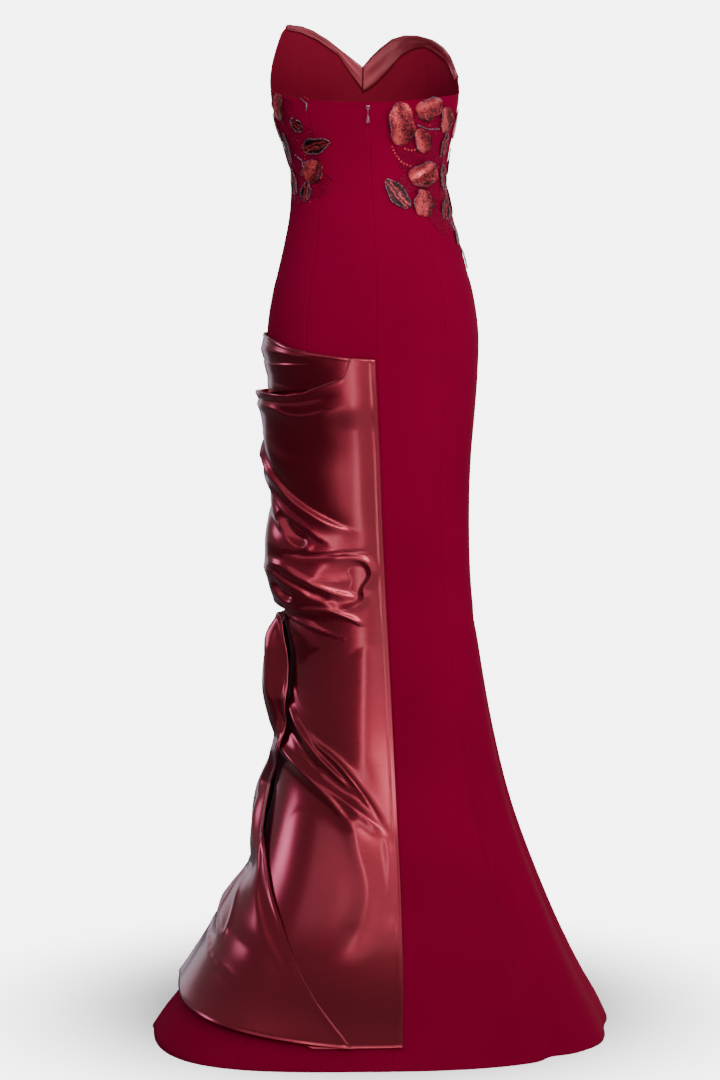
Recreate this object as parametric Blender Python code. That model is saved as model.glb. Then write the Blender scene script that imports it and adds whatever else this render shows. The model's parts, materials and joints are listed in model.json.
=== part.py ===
"""Strapless trumpet gown with a small train, a draped satin panel and flower applique.

Metres, +Z up. The wearer faces +Y and the zip is at the back, towards -Y. The origin is the
middle of the waist, where the wearer holds the gown. It keeps its worn form, and it is hollow.
"""

import math
from collections import namedtuple

import bmesh
import bpy
import numpy as np
from mathutils import Matrix

# Driving sizes
WAIST = 1.170          # height of the origin above the hem
CLOTH = 0.0018         # crepe and lining together
SATIN = 0.0020         # draped panel
CUFF = 0.0012          # satin folded over the neckline
PETAL = 0.0012         # applique petals and leaves
GAP = 0.0003           # between pieces at a seam
LIE = 0.0004           # between a panel and the zip on it
CUFF_LIE = 0.0007      # between a panel and the cuff on either side of it
MOTIF_LIE = 0.0005     # between a panel and the petals, clear of its facets

# Seams, in degrees round the body from the centre back, positive to the wearer's right
BACK_SEAM = 39.0
SIDE_SEAM = 90.0
FRONT_SEAM = 140.0
CENTRE_FRONT = 180.0

# The body of the gown, one row for each height above the hem. Half widths and depths are from
# the centre line, and the last two columns say how far the sides sweep back into the train.
Section = namedtuple("Section", "height centre half_width back front left_sweep right_sweep")
SECTIONS = [
    Section(0.000, 0.014, 0.3220, 0.370, 0.175, 0.135, 0.065),
    Section(0.020, 0.017, 0.3100, 0.346, 0.168, 0.122, 0.058),
    Section(0.060, 0.024, 0.2800, 0.300, 0.158, 0.092, 0.045),
    Section(0.120, 0.030, 0.2440, 0.248, 0.147, 0.060, 0.030),
    Section(0.200, 0.033, 0.2070, 0.196, 0.132, 0.028, 0.014),
    Section(0.300, 0.032, 0.1720, 0.146, 0.115, 0.008, 0.004),
    Section(0.400, 0.029, 0.1500, 0.112, 0.103, 0.000, 0.000),
    Section(0.500, 0.025, 0.1355, 0.092, 0.095, 0.000, 0.000),
    Section(0.600, 0.020, 0.1265, 0.084, 0.092, 0.000, 0.000),
    Section(0.700, 0.015, 0.1275, 0.090, 0.097, 0.000, 0.000),
    Section(0.800, 0.011, 0.1340, 0.103, 0.102, 0.000, 0.000),
    Section(0.860, 0.008, 0.1420, 0.115, 0.104, 0.000, 0.000),
    Section(0.920, 0.005, 0.1490, 0.124, 0.103, 0.000, 0.000),
    Section(0.975, 0.004, 0.1505, 0.125, 0.100, 0.000, 0.000),
    Section(1.030, 0.004, 0.1425, 0.113, 0.095, 0.000, 0.000),
    Section(1.090, 0.003, 0.1270, 0.093, 0.088, 0.000, 0.000),
    Section(1.145, 0.001, 0.1150, 0.079, 0.083, 0.000, 0.000),
    Section(1.170, -0.001, 0.1115, 0.076, 0.083, 0.000, 0.000),
    Section(1.200, -0.002, 0.1110, 0.076, 0.085, 0.000, 0.000),
    Section(1.235, -0.004, 0.1175, 0.082, 0.092, 0.000, 0.000),
    Section(1.260, -0.006, 0.1255, 0.088, 0.097, 0.000, 0.000),
    Section(1.290, -0.007, 0.1310, 0.093, 0.101, 0.000, 0.000),
    Section(1.320, -0.007, 0.1345, 0.095, 0.101, 0.000, 0.000),
    Section(1.420, -0.007, 0.1330, 0.088, 0.089, 0.000, 0.000),
]
SQUARENESS = 0.035     # how far the sections fill out between their axes

# Soft folds of the skirt: a trough where the depth is negative, fading out at its top
SkirtFold = namedtuple("SkirtFold", "angle top depth half_angle")
SKIRT_FOLDS = [
    SkirtFold(47, 0.56, -0.008, 5.0),
    SkirtFold(60, 0.46, 0.006, 7.0),
    SkirtFold(77, 0.58, -0.006, 6.0),
    SkirtFold(108, 0.50, -0.007, 6.5),
    SkirtFold(128, 0.44, 0.006, 8.0),
    SkirtFold(150, 0.54, -0.008, 6.0),
    SkirtFold(174, 0.48, 0.006, 8.0),
    SkirtFold(-158, 0.52, -0.007, 6.5),
    SkirtFold(-126, 0.46, -0.006, 6.5),
    SkirtFold(-98, 0.16, 0.005, 6.0),
]
CUP_ANGLE = 146.0      # middle of each bust cup
CUP_HEIGHT = 1.275
CUP_DEPTH = 0.022
CUP_HALF_ANGLE = 22.0
CUP_HALF_HEIGHT = 0.050

# Top edge, and the lower edge of the satin cuffs that fold over its front
Edge = namedtuple("Edge", "angle height")
TOP_EDGE = [
    Edge(-180, 1.354), Edge(-171, 1.370), Edge(-158, 1.392), Edge(-148, 1.404),
    Edge(-140, 1.409), Edge(-128, 1.410), Edge(-121, 1.400), Edge(-112, 1.371),
    Edge(-101, 1.340), Edge(-90, 1.318), Edge(-78, 1.310), Edge(-58, 1.302),
    Edge(-39, 1.295), Edge(-20, 1.291), Edge(0, 1.290), Edge(20, 1.292),
    Edge(39, 1.297), Edge(67, 1.305), Edge(90, 1.313), Edge(101, 1.329),
    Edge(110, 1.345), Edge(118, 1.366), Edge(125, 1.379), Edge(134, 1.390),
    Edge(145, 1.397), Edge(154, 1.398), Edge(162, 1.393), Edge(169, 1.381),
    Edge(175, 1.368), Edge(180, 1.354),
]
CUFF_EDGE = [
    Edge(-180, 1.322), Edge(-172, 1.348), Edge(-165, 1.372), Edge(-151, 1.392),
    Edge(-138, 1.402), Edge(-126, 1.404), Edge(104, 1.330), Edge(112, 1.342),
    Edge(122, 1.361), Edge(134, 1.376), Edge(140, 1.382), Edge(148, 1.380),
    Edge(156, 1.371), Edge(165, 1.347), Edge(173, 1.328), Edge(180, 1.318),
]
LEFT_CUFF = (-180.0, -126.0)
RIGHT_CUFF = (104.0, 180.0)

# Rows of the body wall: fixed heights up to the bodice, then shares of the way to the top edge
SKIRT_ROWS = [
    0.000, 0.020, 0.045, 0.075, 0.110, 0.150, 0.195, 0.245, 0.300, 0.360, 0.420, 0.480,
    0.540, 0.600, 0.660, 0.720, 0.780, 0.835, 0.885, 0.930, 0.975, 1.020, 1.060, 1.095,
    1.130, 1.160, 1.188, 1.212,
]
BODICE_ROWS = [0.20, 0.40, 0.60, 0.80, 1.00]

# Panels from hem to top edge: first and last angle, and the columns across
Panel = namedtuple("Panel", "name start end columns")
PANELS = [
    Panel("back_left", -BACK_SEAM, 0.0, 6),
    Panel("back_right", 0.0, BACK_SEAM, 6),
    Panel("side_back_left", -SIDE_SEAM, -BACK_SEAM, 7),
    Panel("side_back_right", BACK_SEAM, SIDE_SEAM, 7),
    Panel("side_front_left", -FRONT_SEAM, -SIDE_SEAM, 7),
    Panel("side_front_right", SIDE_SEAM, FRONT_SEAM, 7),
    Panel("front_centre", FRONT_SEAM, 2 * CENTRE_FRONT - FRONT_SEAM, 12),
]

# How far the draped satin stands off the wearer's left side, by height above the hem
Puff = namedtuple("Puff", "height off")
TIER_PUFF = [Puff(0.880, 0.002), Puff(0.970, 0.001)]
MAIN_PUFF = [
    Puff(0.020, 0.000), Puff(0.250, 0.000), Puff(0.400, 0.003), Puff(0.540, 0.006),
    Puff(0.575, 0.018), Puff(0.600, 0.031), Puff(0.640, 0.036), Puff(0.680, 0.036),
    Puff(0.715, 0.029), Puff(0.745, 0.023), Puff(0.785, 0.027), Puff(0.830, 0.022),
    Puff(0.865, 0.016), Puff(0.893, 0.016), Puff(0.930, 0.006),
]
LEAF_PUFF = [
    Puff(0.020, 0.006), Puff(0.070, 0.010), Puff(0.120, 0.011), Puff(0.180, 0.008),
    Puff(0.215, 0.001), Puff(0.245, 0.010), Puff(0.290, 0.018), Puff(0.330, 0.016),
    Puff(0.360, 0.009), Puff(0.385, 0.004), Puff(0.415, 0.014), Puff(0.460, 0.030),
    Puff(0.500, 0.033), Puff(0.540, 0.027), Puff(0.575, 0.012),
]
PUFF_BACK = (-14.0, -88.0)     # the puff grows from the first angle to the second
PUFF_FRONT = (-136.0, -102.0)  # and the same on the front

# Creases and ridges of the drape: heights where it starts, at its middle and where it ends
Crease = namedtuple("Crease", "start end first middle last depth half_height")
MAIN_CREASES = [
    Crease(-140, -12, 0.893, 0.887, 0.914, 0.003, 0.008),
    Crease(-126, -38, 0.870, 0.872, 0.862, -0.006, 0.009),
    Crease(-122, -22, 0.805, 0.745, 0.702, -0.008, 0.012),
    Crease(-112, -46, 0.758, 0.716, 0.668, -0.016, 0.013),
    Crease(-62, -4, 0.668, 0.661, 0.655, -0.007, 0.008),
    Crease(-100, -16, 0.645, 0.630, 0.625, 0.005, 0.014),
    Crease(-118, -60, 0.640, 0.614, 0.592, -0.014, 0.012),
    Crease(-140, -4, 0.584, 0.579, 0.548, -0.012, 0.009),
    Crease(-88, -2, 0.405, 0.352, 0.272, 0.009, 0.011),
    Crease(-76, -16, 0.462, 0.392, 0.336, 0.005, 0.009),
]
LEAF_CREASES = [
    Crease(-128, -58, 0.430, 0.402, 0.385, -0.006, 0.012),
    Crease(-130, -70, 0.240, 0.222, 0.205, -0.005, 0.012),
    Crease(-125, -40, 0.190, 0.150, 0.110, 0.004, 0.014),
]

# The drape's outlines on the body: one row for each level, with both ends of that row
Level = namedtuple("Level", "left_angle left_height right_angle right_height")
TIER_LEVELS = [
    Level(-139.0, 0.880, -1.2, 0.900),
    Level(-139.0, 0.972, -1.2, 0.936),
]
MAIN_LEVELS = [
    Level(-20.0, 0.022, 2.2, 0.023),
    Level(-46.0, 0.066, 1.6, 0.062),
    Level(-68.0, 0.160, 0.6, 0.160),
    Level(-80.0, 0.250, 0.0, 0.250),
    Level(-84.0, 0.450, -0.6, 0.450),
    Level(-90.0, 0.556, -0.8, 0.556),
    Level(-138.0, 0.592, -0.9, 0.585),
    Level(-139.0, 0.700, -0.9, 0.700),
    Level(-139.0, 0.893, -1.2, 0.924),
]
LEAF_LEVELS = [
    Level(-139.0, 0.075, -10.0, 0.020),
    Level(-139.0, 0.086, -13.3, 0.034),
    Level(-139.0, 0.110, -22.0, 0.066),
    Level(-139.0, 0.140, -32.7, 0.111),
    Level(-139.0, 0.180, -43.6, 0.161),
    Level(-139.0, 0.225, -57.0, 0.211),
    Level(-139.0, 0.270, -72.0, 0.262),
    Level(-139.0, 0.330, -82.0, 0.325),
    Level(-139.0, 0.385, -68.0, 0.380),
    Level(-139.0, 0.450, -68.0, 0.450),
    Level(-139.0, 0.520, -76.0, 0.520),
    Level(-139.0, 0.574, -86.0, 0.570),
]
DRAPE_LIE = 0.0021             # seat of the drape on the panels, clear of their facets
MAIN_OVER_TIER = SATIN + DRAPE_LIE
MAIN_RIM_LOW = 0.868           # above this height the main fold lies over the tier
MAIN_RIM_HIGH = 0.880
LEAF_LIE = SATIN + 2 * DRAPE_LIE
LEAF_ROLL = 13.0               # degrees over which its free edge rolls down to the fall
LEAF_ROLL_LEAST = 0.15         # share of its stand-off that the free edge keeps
LEAF_FREE_HEIGHT = 0.54        # above this height it lies free of the fall, except at its edge
LEAF_FREE_SPAN = 0.10
LEAF_SPAN = 0.011              # it spans the fall's ridges within this height
MAIN_REACH = (-98.0, -90.0)    # the main fold's own edge, past which nothing lies under the leaf

# Applique petals and leaves: the middle, length, width, turn of the long axis from upright,
# and how far the edges curl up
Motif = namedtuple("Motif", "name angle height length width turn curl")
MOTIFS = [
    Motif("petal_left_1", -66, 1.288, 0.029, 0.021, 18, 0.0015),
    Motif("leaf_left_2", -49, 1.262, 0.020, 0.013, -42, 0.0005),
    Motif("leaf_left_3", -38, 1.233, 0.037, 0.018, 76, 0.0020),
    Motif("leaf_left_4", -71, 1.232, 0.038, 0.014, 6, 0.0010),
    Motif("petal_left_5", -43, 1.197, 0.027, 0.023, 30, 0.0030),
    Motif("leaf_left_6", -69, 1.184, 0.032, 0.013, -14, 0.0010),
    Motif("leaf_left_7", -51, 1.170, 0.025, 0.014, 12, 0.0010),
    Motif("petal_left_8", -88, 1.262, 0.032, 0.022, -20, 0.0020),
    Motif("leaf_left_9", -99, 1.224, 0.034, 0.016, 20, 0.0010),
    Motif("petal_left_10", -112, 1.300, 0.034, 0.024, 30, 0.0025),
    Motif("leaf_left_11", -118, 1.256, 0.034, 0.016, -30, 0.0010),
    Motif("petal_right_1", 21, 1.262, 0.046, 0.026, -6, 0.0030),
    Motif("petal_right_2", 40, 1.284, 0.032, 0.022, 68, 0.0020),
    Motif("petal_right_3", 57, 1.270, 0.028, 0.020, -12, 0.0015),
    Motif("petal_right_4", 37, 1.240, 0.028, 0.017, -28, 0.0020),
    Motif("petal_right_5", 40, 1.194, 0.034, 0.025, 62, 0.0040),
    Motif("leaf_right_6", 18, 1.166, 0.042, 0.021, -34, 0.0010),
    Motif("leaf_right_7", 60, 1.236, 0.031, 0.011, 4, 0.0010),
    Motif("leaf_right_8", 64, 1.191, 0.032, 0.014, -10, 0.0010),
    Motif("petal_right_9", 37, 1.153, 0.030, 0.021, 14, 0.0030),
    Motif("leaf_right_10", 60, 1.146, 0.028, 0.014, 24, 0.0010),
    Motif("leaf_right_11", 72, 1.110, 0.026, 0.012, 16, 0.0010),
    Motif("leaf_right_12", 83, 1.078, 0.024, 0.010, 8, 0.0010),
    Motif("petal_right_13", 84, 1.268, 0.034, 0.023, 22, 0.0025),
    Motif("leaf_right_14", 90, 1.215, 0.034, 0.016, -20, 0.0010),
    Motif("petal_right_15", 108, 1.296, 0.034, 0.024, -26, 0.0025),
    Motif("leaf_right_16", 114, 1.246, 0.034, 0.016, 26, 0.0010),
    Motif("leaf_right_17", 96, 1.160, 0.034, 0.015, 10, 0.0010),
]
MOTIF_ROWS = 6
MOTIF_COLUMNS = 3

# Zip slider and pull tab at the top of the centre back seam
ZIP_HEIGHT = 1.2840
SLIDER_WIDTH = 0.0058
SLIDER_LENGTH = 0.0060
SLIDER_THICK = 0.0012
EAR_THICK = 0.0010
EAR_LENGTH = 0.0030
BAR_RADIUS = 0.0006
BAR_STAND = 0.0024     # from the slider's face to the middle of its bar
PULL_EYE = 0.0013      # outer radius of the pull's eye
PULL_HOLE = 0.0009
PULL_EYE_WIDTH = 0.0030
PULL_STEM = 0.0085
PULL_STEM_WIDTH = 0.0016
PULL_DROP = 0.0140
PULL_DROP_WIDTH = 0.0056
PULL_THICK = 0.0013

Look = namedtuple("Look", "colour roughness metallic")
LOOKS = {
    "crepe": Look((0.235, 0.001, 0.017), 0.75, 0.0),
    "satin": Look((0.270, 0.016, 0.032), 0.35, 0.1),
    "petal_cloth": Look((0.330, 0.070, 0.090), 0.45, 0.2),
    "zip_metal": Look((0.420, 0.120, 0.160), 0.30, 0.9),
}


def clear_scene():
    for obj in list(bpy.data.objects):
        bpy.data.objects.remove(obj, do_unlink=True)


def new_collection(name):
    made = bpy.data.collections.new(name)
    bpy.context.scene.collection.children.link(made)
    return made


def make_materials():
    made = {}
    for name, look in LOOKS.items():
        material = bpy.data.materials.new(name)
        material.use_nodes = True
        shader = material.node_tree.nodes["Principled BSDF"]
        shader.inputs["Base Color"].default_value = (*look.colour, 1.0)
        shader.inputs["Roughness"].default_value = look.roughness
        shader.inputs["Metallic"].default_value = look.metallic
        material.diffuse_color = (*look.colour, 1.0)
        made[name] = material
    return made


def add_object(name, mesh, collection, material):
    mesh.materials.append(material)
    obj = bpy.data.objects.new(name, mesh)
    collection.objects.link(obj)
    return obj


def ease(share):
    """0 to 1 with a level start and end."""
    share = np.clip(share, 0.0, 1.0)
    return share * share * (3 - 2 * share)


def smooth_column(table, column, at):
    """A column of a table, read between its rows as a smooth curve."""
    knots = np.array([row[0] for row in table])
    values = np.array([getattr(row, column) for row in table])
    slopes = np.gradient(values, knots)
    at = np.clip(at, knots[0], knots[-1])
    i = np.clip(np.searchsorted(knots, at) - 1, 0, len(knots) - 2)
    span = knots[i + 1] - knots[i]
    u = (at - knots[i]) / span
    start = values[i] * (1 + 2 * u) + slopes[i] * span * u
    end = values[i + 1] * (3 - 2 * u) - slopes[i + 1] * span * (1 - u)
    return start * (1 - u) ** 2 + end * u * u


def straight_column(table, column, at):
    """A column of a table, read between its rows as straight lines."""
    knots = [row[0] for row in table]
    return np.interp(at, knots, [getattr(row, column) for row in table])


def turn_between(angle, other):
    """Degrees from one angle to another, the short way round."""
    return (angle - other + 180.0) % 360.0 - 180.0


def body_relief(height, angle):
    """Skirt folds and bust cups, as metres outwards."""
    out = np.zeros(np.broadcast(height, angle).shape)
    for fold in SKIRT_FOLDS:
        across = np.exp(-(turn_between(angle, fold.angle) / fold.half_angle) ** 2)
        out = out + fold.depth * across * ease((fold.top - height) / fold.top * 1.4)
    for side in (-CUP_ANGLE, CUP_ANGLE):
        across = np.exp(-(turn_between(angle, side) / CUP_HALF_ANGLE) ** 2)
        up = np.exp(-((height - CUP_HEIGHT) / CUP_HALF_HEIGHT) ** 2)
        out = out + CUP_DEPTH * across * up
    return out


def body_points(height, angle):
    """Points of the gown's outer face, for heights above the hem and angles from the back."""
    height = np.asarray(height, float)
    angle = np.asarray(angle, float)
    sine = np.sin(np.radians(angle))
    cosine = np.cos(np.radians(angle))
    full = 1 + SQUARENESS * np.sin(2 * np.radians(angle)) ** 2
    relief = body_relief(height, angle)
    read = {name: smooth_column(SECTIONS, name, height) for name in Section._fields[1:]}
    depth = np.where(cosine > 0, read["back"], read["front"])
    sweep = np.where(sine < 0, read["left_sweep"], read["right_sweep"])
    x = read["centre"] + (read["half_width"] * full + relief) * sine
    y = -(depth * full + relief) * cosine - sweep * sine * sine
    return np.stack([x, y, height + 0.0 * angle - WAIST], axis=-1)


def body_normals(height, angle):
    """Outward directions of that face, from points a little way to each side."""
    step_up, step_round = 0.002, 1.0
    up = body_points(height + step_up, angle) - body_points(height - step_up, angle)
    across = body_points(height, angle + step_round) - body_points(height, angle - step_round)
    out = np.cross(across, up)
    return out / np.linalg.norm(out, axis=-1, keepdims=True)


def off_body(height, angle, off):
    """Points that lie some way off the outer face, never under the hem's level."""
    height, angle, off = np.broadcast_arrays(
        np.asarray(height, float), np.asarray(angle, float), np.asarray(off, float)
    )
    points = body_points(height, angle) + body_normals(height, angle) * off[..., None]
    points[..., 2] = np.maximum(points[..., 2], -WAIST)
    return points


def top_height(angle):
    return straight_column(TOP_EDGE, "height", turn_between(np.asarray(angle, float), 0.0))


def wall_mesh(name, outer, inner):
    """A closed wall between two grids of points, rows by columns, with rims on all four sides."""
    rows, columns = outer.shape[:2]
    bm = bmesh.new()
    faces = [[[bm.verts.new(p) for p in row] for row in grid] for grid in (outer, inner)]
    front, back = faces
    for r in range(rows - 1):
        for c in range(columns - 1):
            bm.faces.new((front[r][c], front[r][c + 1], front[r + 1][c + 1], front[r + 1][c]))
            bm.faces.new((back[r][c], back[r + 1][c], back[r + 1][c + 1], back[r][c + 1]))
    for c in range(columns - 1):
        bm.faces.new((front[0][c], back[0][c], back[0][c + 1], front[0][c + 1]))
        bm.faces.new((front[-1][c], front[-1][c + 1], back[-1][c + 1], back[-1][c]))
    for r in range(rows - 1):
        bm.faces.new((front[r][0], front[r + 1][0], back[r + 1][0], back[r][0]))
        bm.faces.new((front[r][-1], back[r][-1], back[r + 1][-1], front[r + 1][-1]))
    bmesh.ops.recalc_face_normals(bm, faces=bm.faces)
    mesh = bpy.data.meshes.new(name)
    bm.to_mesh(mesh)
    bm.free()
    mesh.shade_smooth()
    mesh.set_sharp_from_angle(angle=math.radians(50))
    return mesh


def loft_mesh(name, rings):
    """A closed tube through rings that hold the same number of points, with both ends capped."""
    bm = bmesh.new()
    loops = [[bm.verts.new(p) for p in ring] for ring in rings]
    sides = len(loops[0])
    for first, second in zip(loops, loops[1:]):
        for i in range(sides):
            j = (i + 1) % sides
            bm.faces.new((first[i], first[j], second[j], second[i]))
    bm.faces.new(loops[0][::-1])
    bm.faces.new(loops[-1])
    bmesh.ops.recalc_face_normals(bm, faces=bm.faces)
    mesh = bpy.data.meshes.new(name)
    bm.to_mesh(mesh)
    bm.free()
    mesh.shade_smooth()
    mesh.set_sharp_from_angle(angle=math.radians(50))
    return mesh


def panel_columns(panel):
    """Angles of a panel's columns, without the seam gaps."""
    return np.linspace(panel.start, panel.end, panel.columns + 1)


def panel_grid(panel):
    """Heights and angles of a panel, with half the seam gap taken off each side."""
    columns = panel_columns(panel)
    top = top_height(columns)
    skirt = [np.full(len(columns), h) for h in SKIRT_ROWS]
    last = SKIRT_ROWS[-1]
    bodice = [last + share * (top - last) for share in BODICE_ROWS]
    height = np.array(skirt + bodice)
    angle = np.tile(columns, (len(height), 1))
    width = smooth_column(SECTIONS, "half_width", height)
    depth = np.minimum(
        smooth_column(SECTIONS, "back", height), smooth_column(SECTIONS, "front", height)
    )
    inset = np.degrees(GAP / 2 / np.minimum(width, depth))
    angle[:, 0] += inset[:, 0]
    angle[:, -1] -= inset[:, -1]
    return height, angle


def build_panels(collection, material):
    for panel in PANELS:
        height, angle = panel_grid(panel)
        mesh = wall_mesh(panel.name, off_body(height, angle, 0.0), off_body(height, angle, -CLOTH))
        add_object(panel.name, mesh, collection, material)


def cuff_columns(start, end):
    """The panels' columns between two angles, with those two at the ends."""
    every = {round(float(turn_between(a, 0.0)), 3) for p in PANELS for a in panel_columns(p)}
    inside = sorted(a for a in every if start + 1.0 < a < end - 1.0)
    return [start + 0.12, *inside, end - 0.12]


def build_cuffs(collection, material):
    """Satin folded over the front of the top edge: down the outside and down the inside."""
    for name, (start, end) in {"cuff_left": LEFT_CUFF, "cuff_right": RIGHT_CUFF}.items():
        rings = []
        for angle in cuff_columns(start, end):
            top = float(top_height(angle))
            low = min(float(straight_column(CUFF_EDGE, "height", angle)), top - 0.003)
            middle = (low + top) / 2
            outside, inside = CUFF_LIE, -CLOTH - CUFF_LIE
            section = [
                (low, outside + CUFF), (middle, outside + CUFF),
                (top + CUFF_LIE + CUFF, outside + CUFF), (top + CUFF_LIE + CUFF, inside - CUFF),
                (middle, inside - CUFF), (low, inside - CUFF),
                (low, inside), (middle, inside), (top + CUFF_LIE, inside),
                (top + CUFF_LIE, outside), (middle, outside), (low, outside),
            ]
            rings.append([off_body(height, angle, off) for height, off in section])
        add_object(name, loft_mesh(name, rings), collection, material)


def crease_relief(creases, height, angle):
    """The drape's creases and ridges, as metres outwards."""
    out = np.zeros(height.shape)
    for crease in creases:
        share = (angle - crease.start) / (crease.end - crease.start)
        near = np.clip(share, 0.0, 1.0)
        bend = 4 * near * (1 - near)
        line = crease.first + (crease.last - crease.first) * near
        line = line + bend * (crease.middle - (crease.first + crease.last) / 2)
        fade = ease(share / 0.15) * ease((1 - share) / 0.15)
        out = out + crease.depth * fade * np.exp(-((height - line) / crease.half_height) ** 2)
    return out


def puff_share(angle):
    back = ease((angle - PUFF_BACK[0]) / (PUFF_BACK[1] - PUFF_BACK[0]))
    front = ease((angle - PUFF_FRONT[0]) / (PUFF_FRONT[1] - PUFF_FRONT[0]))
    return back * front


def drape_off(height, angle, puffs, creases, least, roll=1.0):
    """How far a piece of the drape stands off the panels, and never less than its seat."""
    side = smooth_column(puffs, "off", height) * puff_share(angle) * roll
    inner = side + crease_relief(creases, height, angle)
    return np.maximum(inner, 0.0) + least


def level_grid(levels, rows, columns):
    """Heights and angles of a drape piece, read between its levels."""
    at = np.linspace(0, len(levels) - 1, rows)
    read = {
        name: np.interp(at, range(len(levels)), [getattr(row, name) for row in levels])
        for name in Level._fields
    }
    across = np.linspace(0, 1, columns)[None, :]
    angle = read["left_angle"][:, None] * (1 - across) + read["right_angle"][:, None] * across
    height = read["left_height"][:, None] * (1 - across) + read["right_height"][:, None] * across
    return height, angle


def by_height(levels, spacing):
    """The levels with more rows between them, about one spacing apart on the right edge."""
    made = []
    for low, high in zip(levels, levels[1:]):
        right = abs(high.right_height - low.right_height)
        span = max(right, abs(high.left_height - low.left_height))
        count = max(1, round(span / spacing))
        for step in range(count):
            share = step / count
            made.append(Level(*(a + (b - a) * share for a, b in zip(low, high))))
    return [*made, levels[-1]]


def build_drape(collection, material):
    pieces = {
        "drape_tier": (TIER_LEVELS, TIER_PUFF, [], 0.020, 18),
        "drape_main": (MAIN_LEVELS, MAIN_PUFF, MAIN_CREASES, 0.022, 19),
        "drape_leaf": (LEAF_LEVELS, LEAF_PUFF, LEAF_CREASES, 0.022, 13),
    }
    for name, (levels, puffs, creases, spacing, columns) in pieces.items():
        levels = by_height(levels, spacing)
        height, angle = level_grid(levels, len(levels), columns)
        roll = 1.0
        if name == "drape_tier":
            least = DRAPE_LIE
        elif name == "drape_main":
            rim = ease((height - MAIN_RIM_LOW) / (MAIN_RIM_HIGH - MAIN_RIM_LOW))
            least = DRAPE_LIE + MAIN_OVER_TIER * rim
        else:
            near = [main_off(height + step, angle) for step in (-LEAF_SPAN, 0.0, LEAF_SPAN)]
            least = LEAF_LIE + np.maximum.reduce(near)
            rolled = ease((angle[:, -1:] - angle) / LEAF_ROLL)
            roll = LEAF_ROLL_LEAST + (1 - LEAF_ROLL_LEAST) * rolled
        off = drape_off(height, angle, puffs, creases, least, roll)
        mesh = wall_mesh(name, off_body(height, angle, off + SATIN), off_body(height, angle, off))
        add_object(name, mesh, collection, material)


def main_off(height, angle):
    """How far the main fold stands off its seat, which the leaf over it follows."""
    off = drape_off(height, angle, MAIN_PUFF, MAIN_CREASES, 0.0)
    start, end = MAIN_REACH
    low = ease((LEAF_FREE_HEIGHT - height) / LEAF_FREE_SPAN)
    return off * np.maximum(low, ease((angle - start) / (end - start)))


def motif_points(motif, off):
    """A grid over a petal or leaf that lies on the bodice, broad at its root and slim at its tip."""
    along = np.linspace(0.0, 1.0, MOTIF_ROWS)[:, None]
    across = np.linspace(-1.0, 1.0, MOTIF_COLUMNS + 1)[None, :]
    half = motif.width / 2 * (np.sin(np.pi * along ** 0.85) ** 0.7 * 0.93 + 0.07)
    forward = motif.length * (along - 0.5)
    sideways = across * half
    turn = math.radians(motif.turn)
    right = forward * math.sin(turn) + sideways * math.cos(turn)
    up = forward * math.cos(turn) - sideways * math.sin(turn)
    half_width = float(smooth_column(SECTIONS, "half_width", motif.height))
    depth = "front" if abs(motif.angle) > 90 else "back"
    half_depth = float(smooth_column(SECTIONS, depth, motif.height))
    at = math.radians(motif.angle)
    metres_per_radian = math.hypot(half_width * math.cos(at), half_depth * math.sin(at))
    angle = motif.angle + np.degrees(right / metres_per_radian)
    curl = motif.curl * (across ** 2 * np.sin(np.pi * along) + along ** 3)
    return off_body(motif.height + up, angle, MOTIF_LIE + off + curl)


def build_motifs(collection, material):
    for motif in MOTIFS:
        mesh = wall_mesh(motif.name, motif_points(motif, PETAL), motif_points(motif, 0.0))
        add_object(motif.name, mesh, collection, material)


def box_mesh(name, size, centre):
    bm = bmesh.new()
    bmesh.ops.create_cube(bm, size=1.0)
    bmesh.ops.scale(bm, vec=size, verts=bm.verts)
    bmesh.ops.translate(bm, vec=centre, verts=bm.verts)
    mesh = bpy.data.meshes.new(name)
    bm.to_mesh(mesh)
    bm.free()
    return mesh


def rod_mesh(name, radius, length, sides=12):
    """A cylinder along X, with its middle at the object's origin."""
    bm = bmesh.new()
    turn = Matrix.Rotation(math.radians(90), 4, "Y")
    bmesh.ops.create_cone(
        bm, cap_ends=True, segments=sides, radius1=radius, radius2=radius, depth=length, matrix=turn
    )
    mesh = bpy.data.meshes.new(name)
    bm.to_mesh(mesh)
    bm.free()
    return mesh


def drop_mesh(name):
    """The pull's teardrop plate, hanging from the origin in the XZ plane."""
    bm = bmesh.new()
    steps = 8
    right = []
    for i in range(steps + 1):
        share = i / steps
        half = PULL_STEM_WIDTH / 2 + (PULL_DROP_WIDTH - PULL_STEM_WIDTH) / 2 * ease(share * 1.25)
        if share > 0.8:
            half = PULL_DROP_WIDTH / 2 * math.sqrt(max(0.0, 1 - ((share - 0.8) / 0.2) ** 2)) + 0.0002
        right.append((float(half), -share * PULL_DROP))
    outline = right + [(-x, z) for x, z in reversed(right)]
    front = [bm.verts.new((x, -PULL_THICK / 2, z)) for x, z in outline]
    back = [bm.verts.new((x, PULL_THICK / 2, z)) for x, z in outline]
    bm.faces.new(front)
    bm.faces.new(back[::-1])
    for i in range(len(outline)):
        j = (i + 1) % len(outline)
        bm.faces.new((front[i], back[i], back[j], front[j]))
    bmesh.ops.recalc_face_normals(bm, faces=bm.faces)
    mesh = bpy.data.meshes.new(name)
    bm.to_mesh(mesh)
    bm.free()
    return mesh


def join_with(target, helper, operation, cutters):
    """A Boolean of the target with a helper, which the build leaves out."""
    cutters.objects.link(helper)
    helper.location = target.location
    helper.hide_render = True
    helper.display_type = "WIRE"
    modifier = target.modifiers.new(helper.name, "BOOLEAN")
    modifier.operation = operation
    modifier.solver = "EXACT"
    modifier.object = helper


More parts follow.
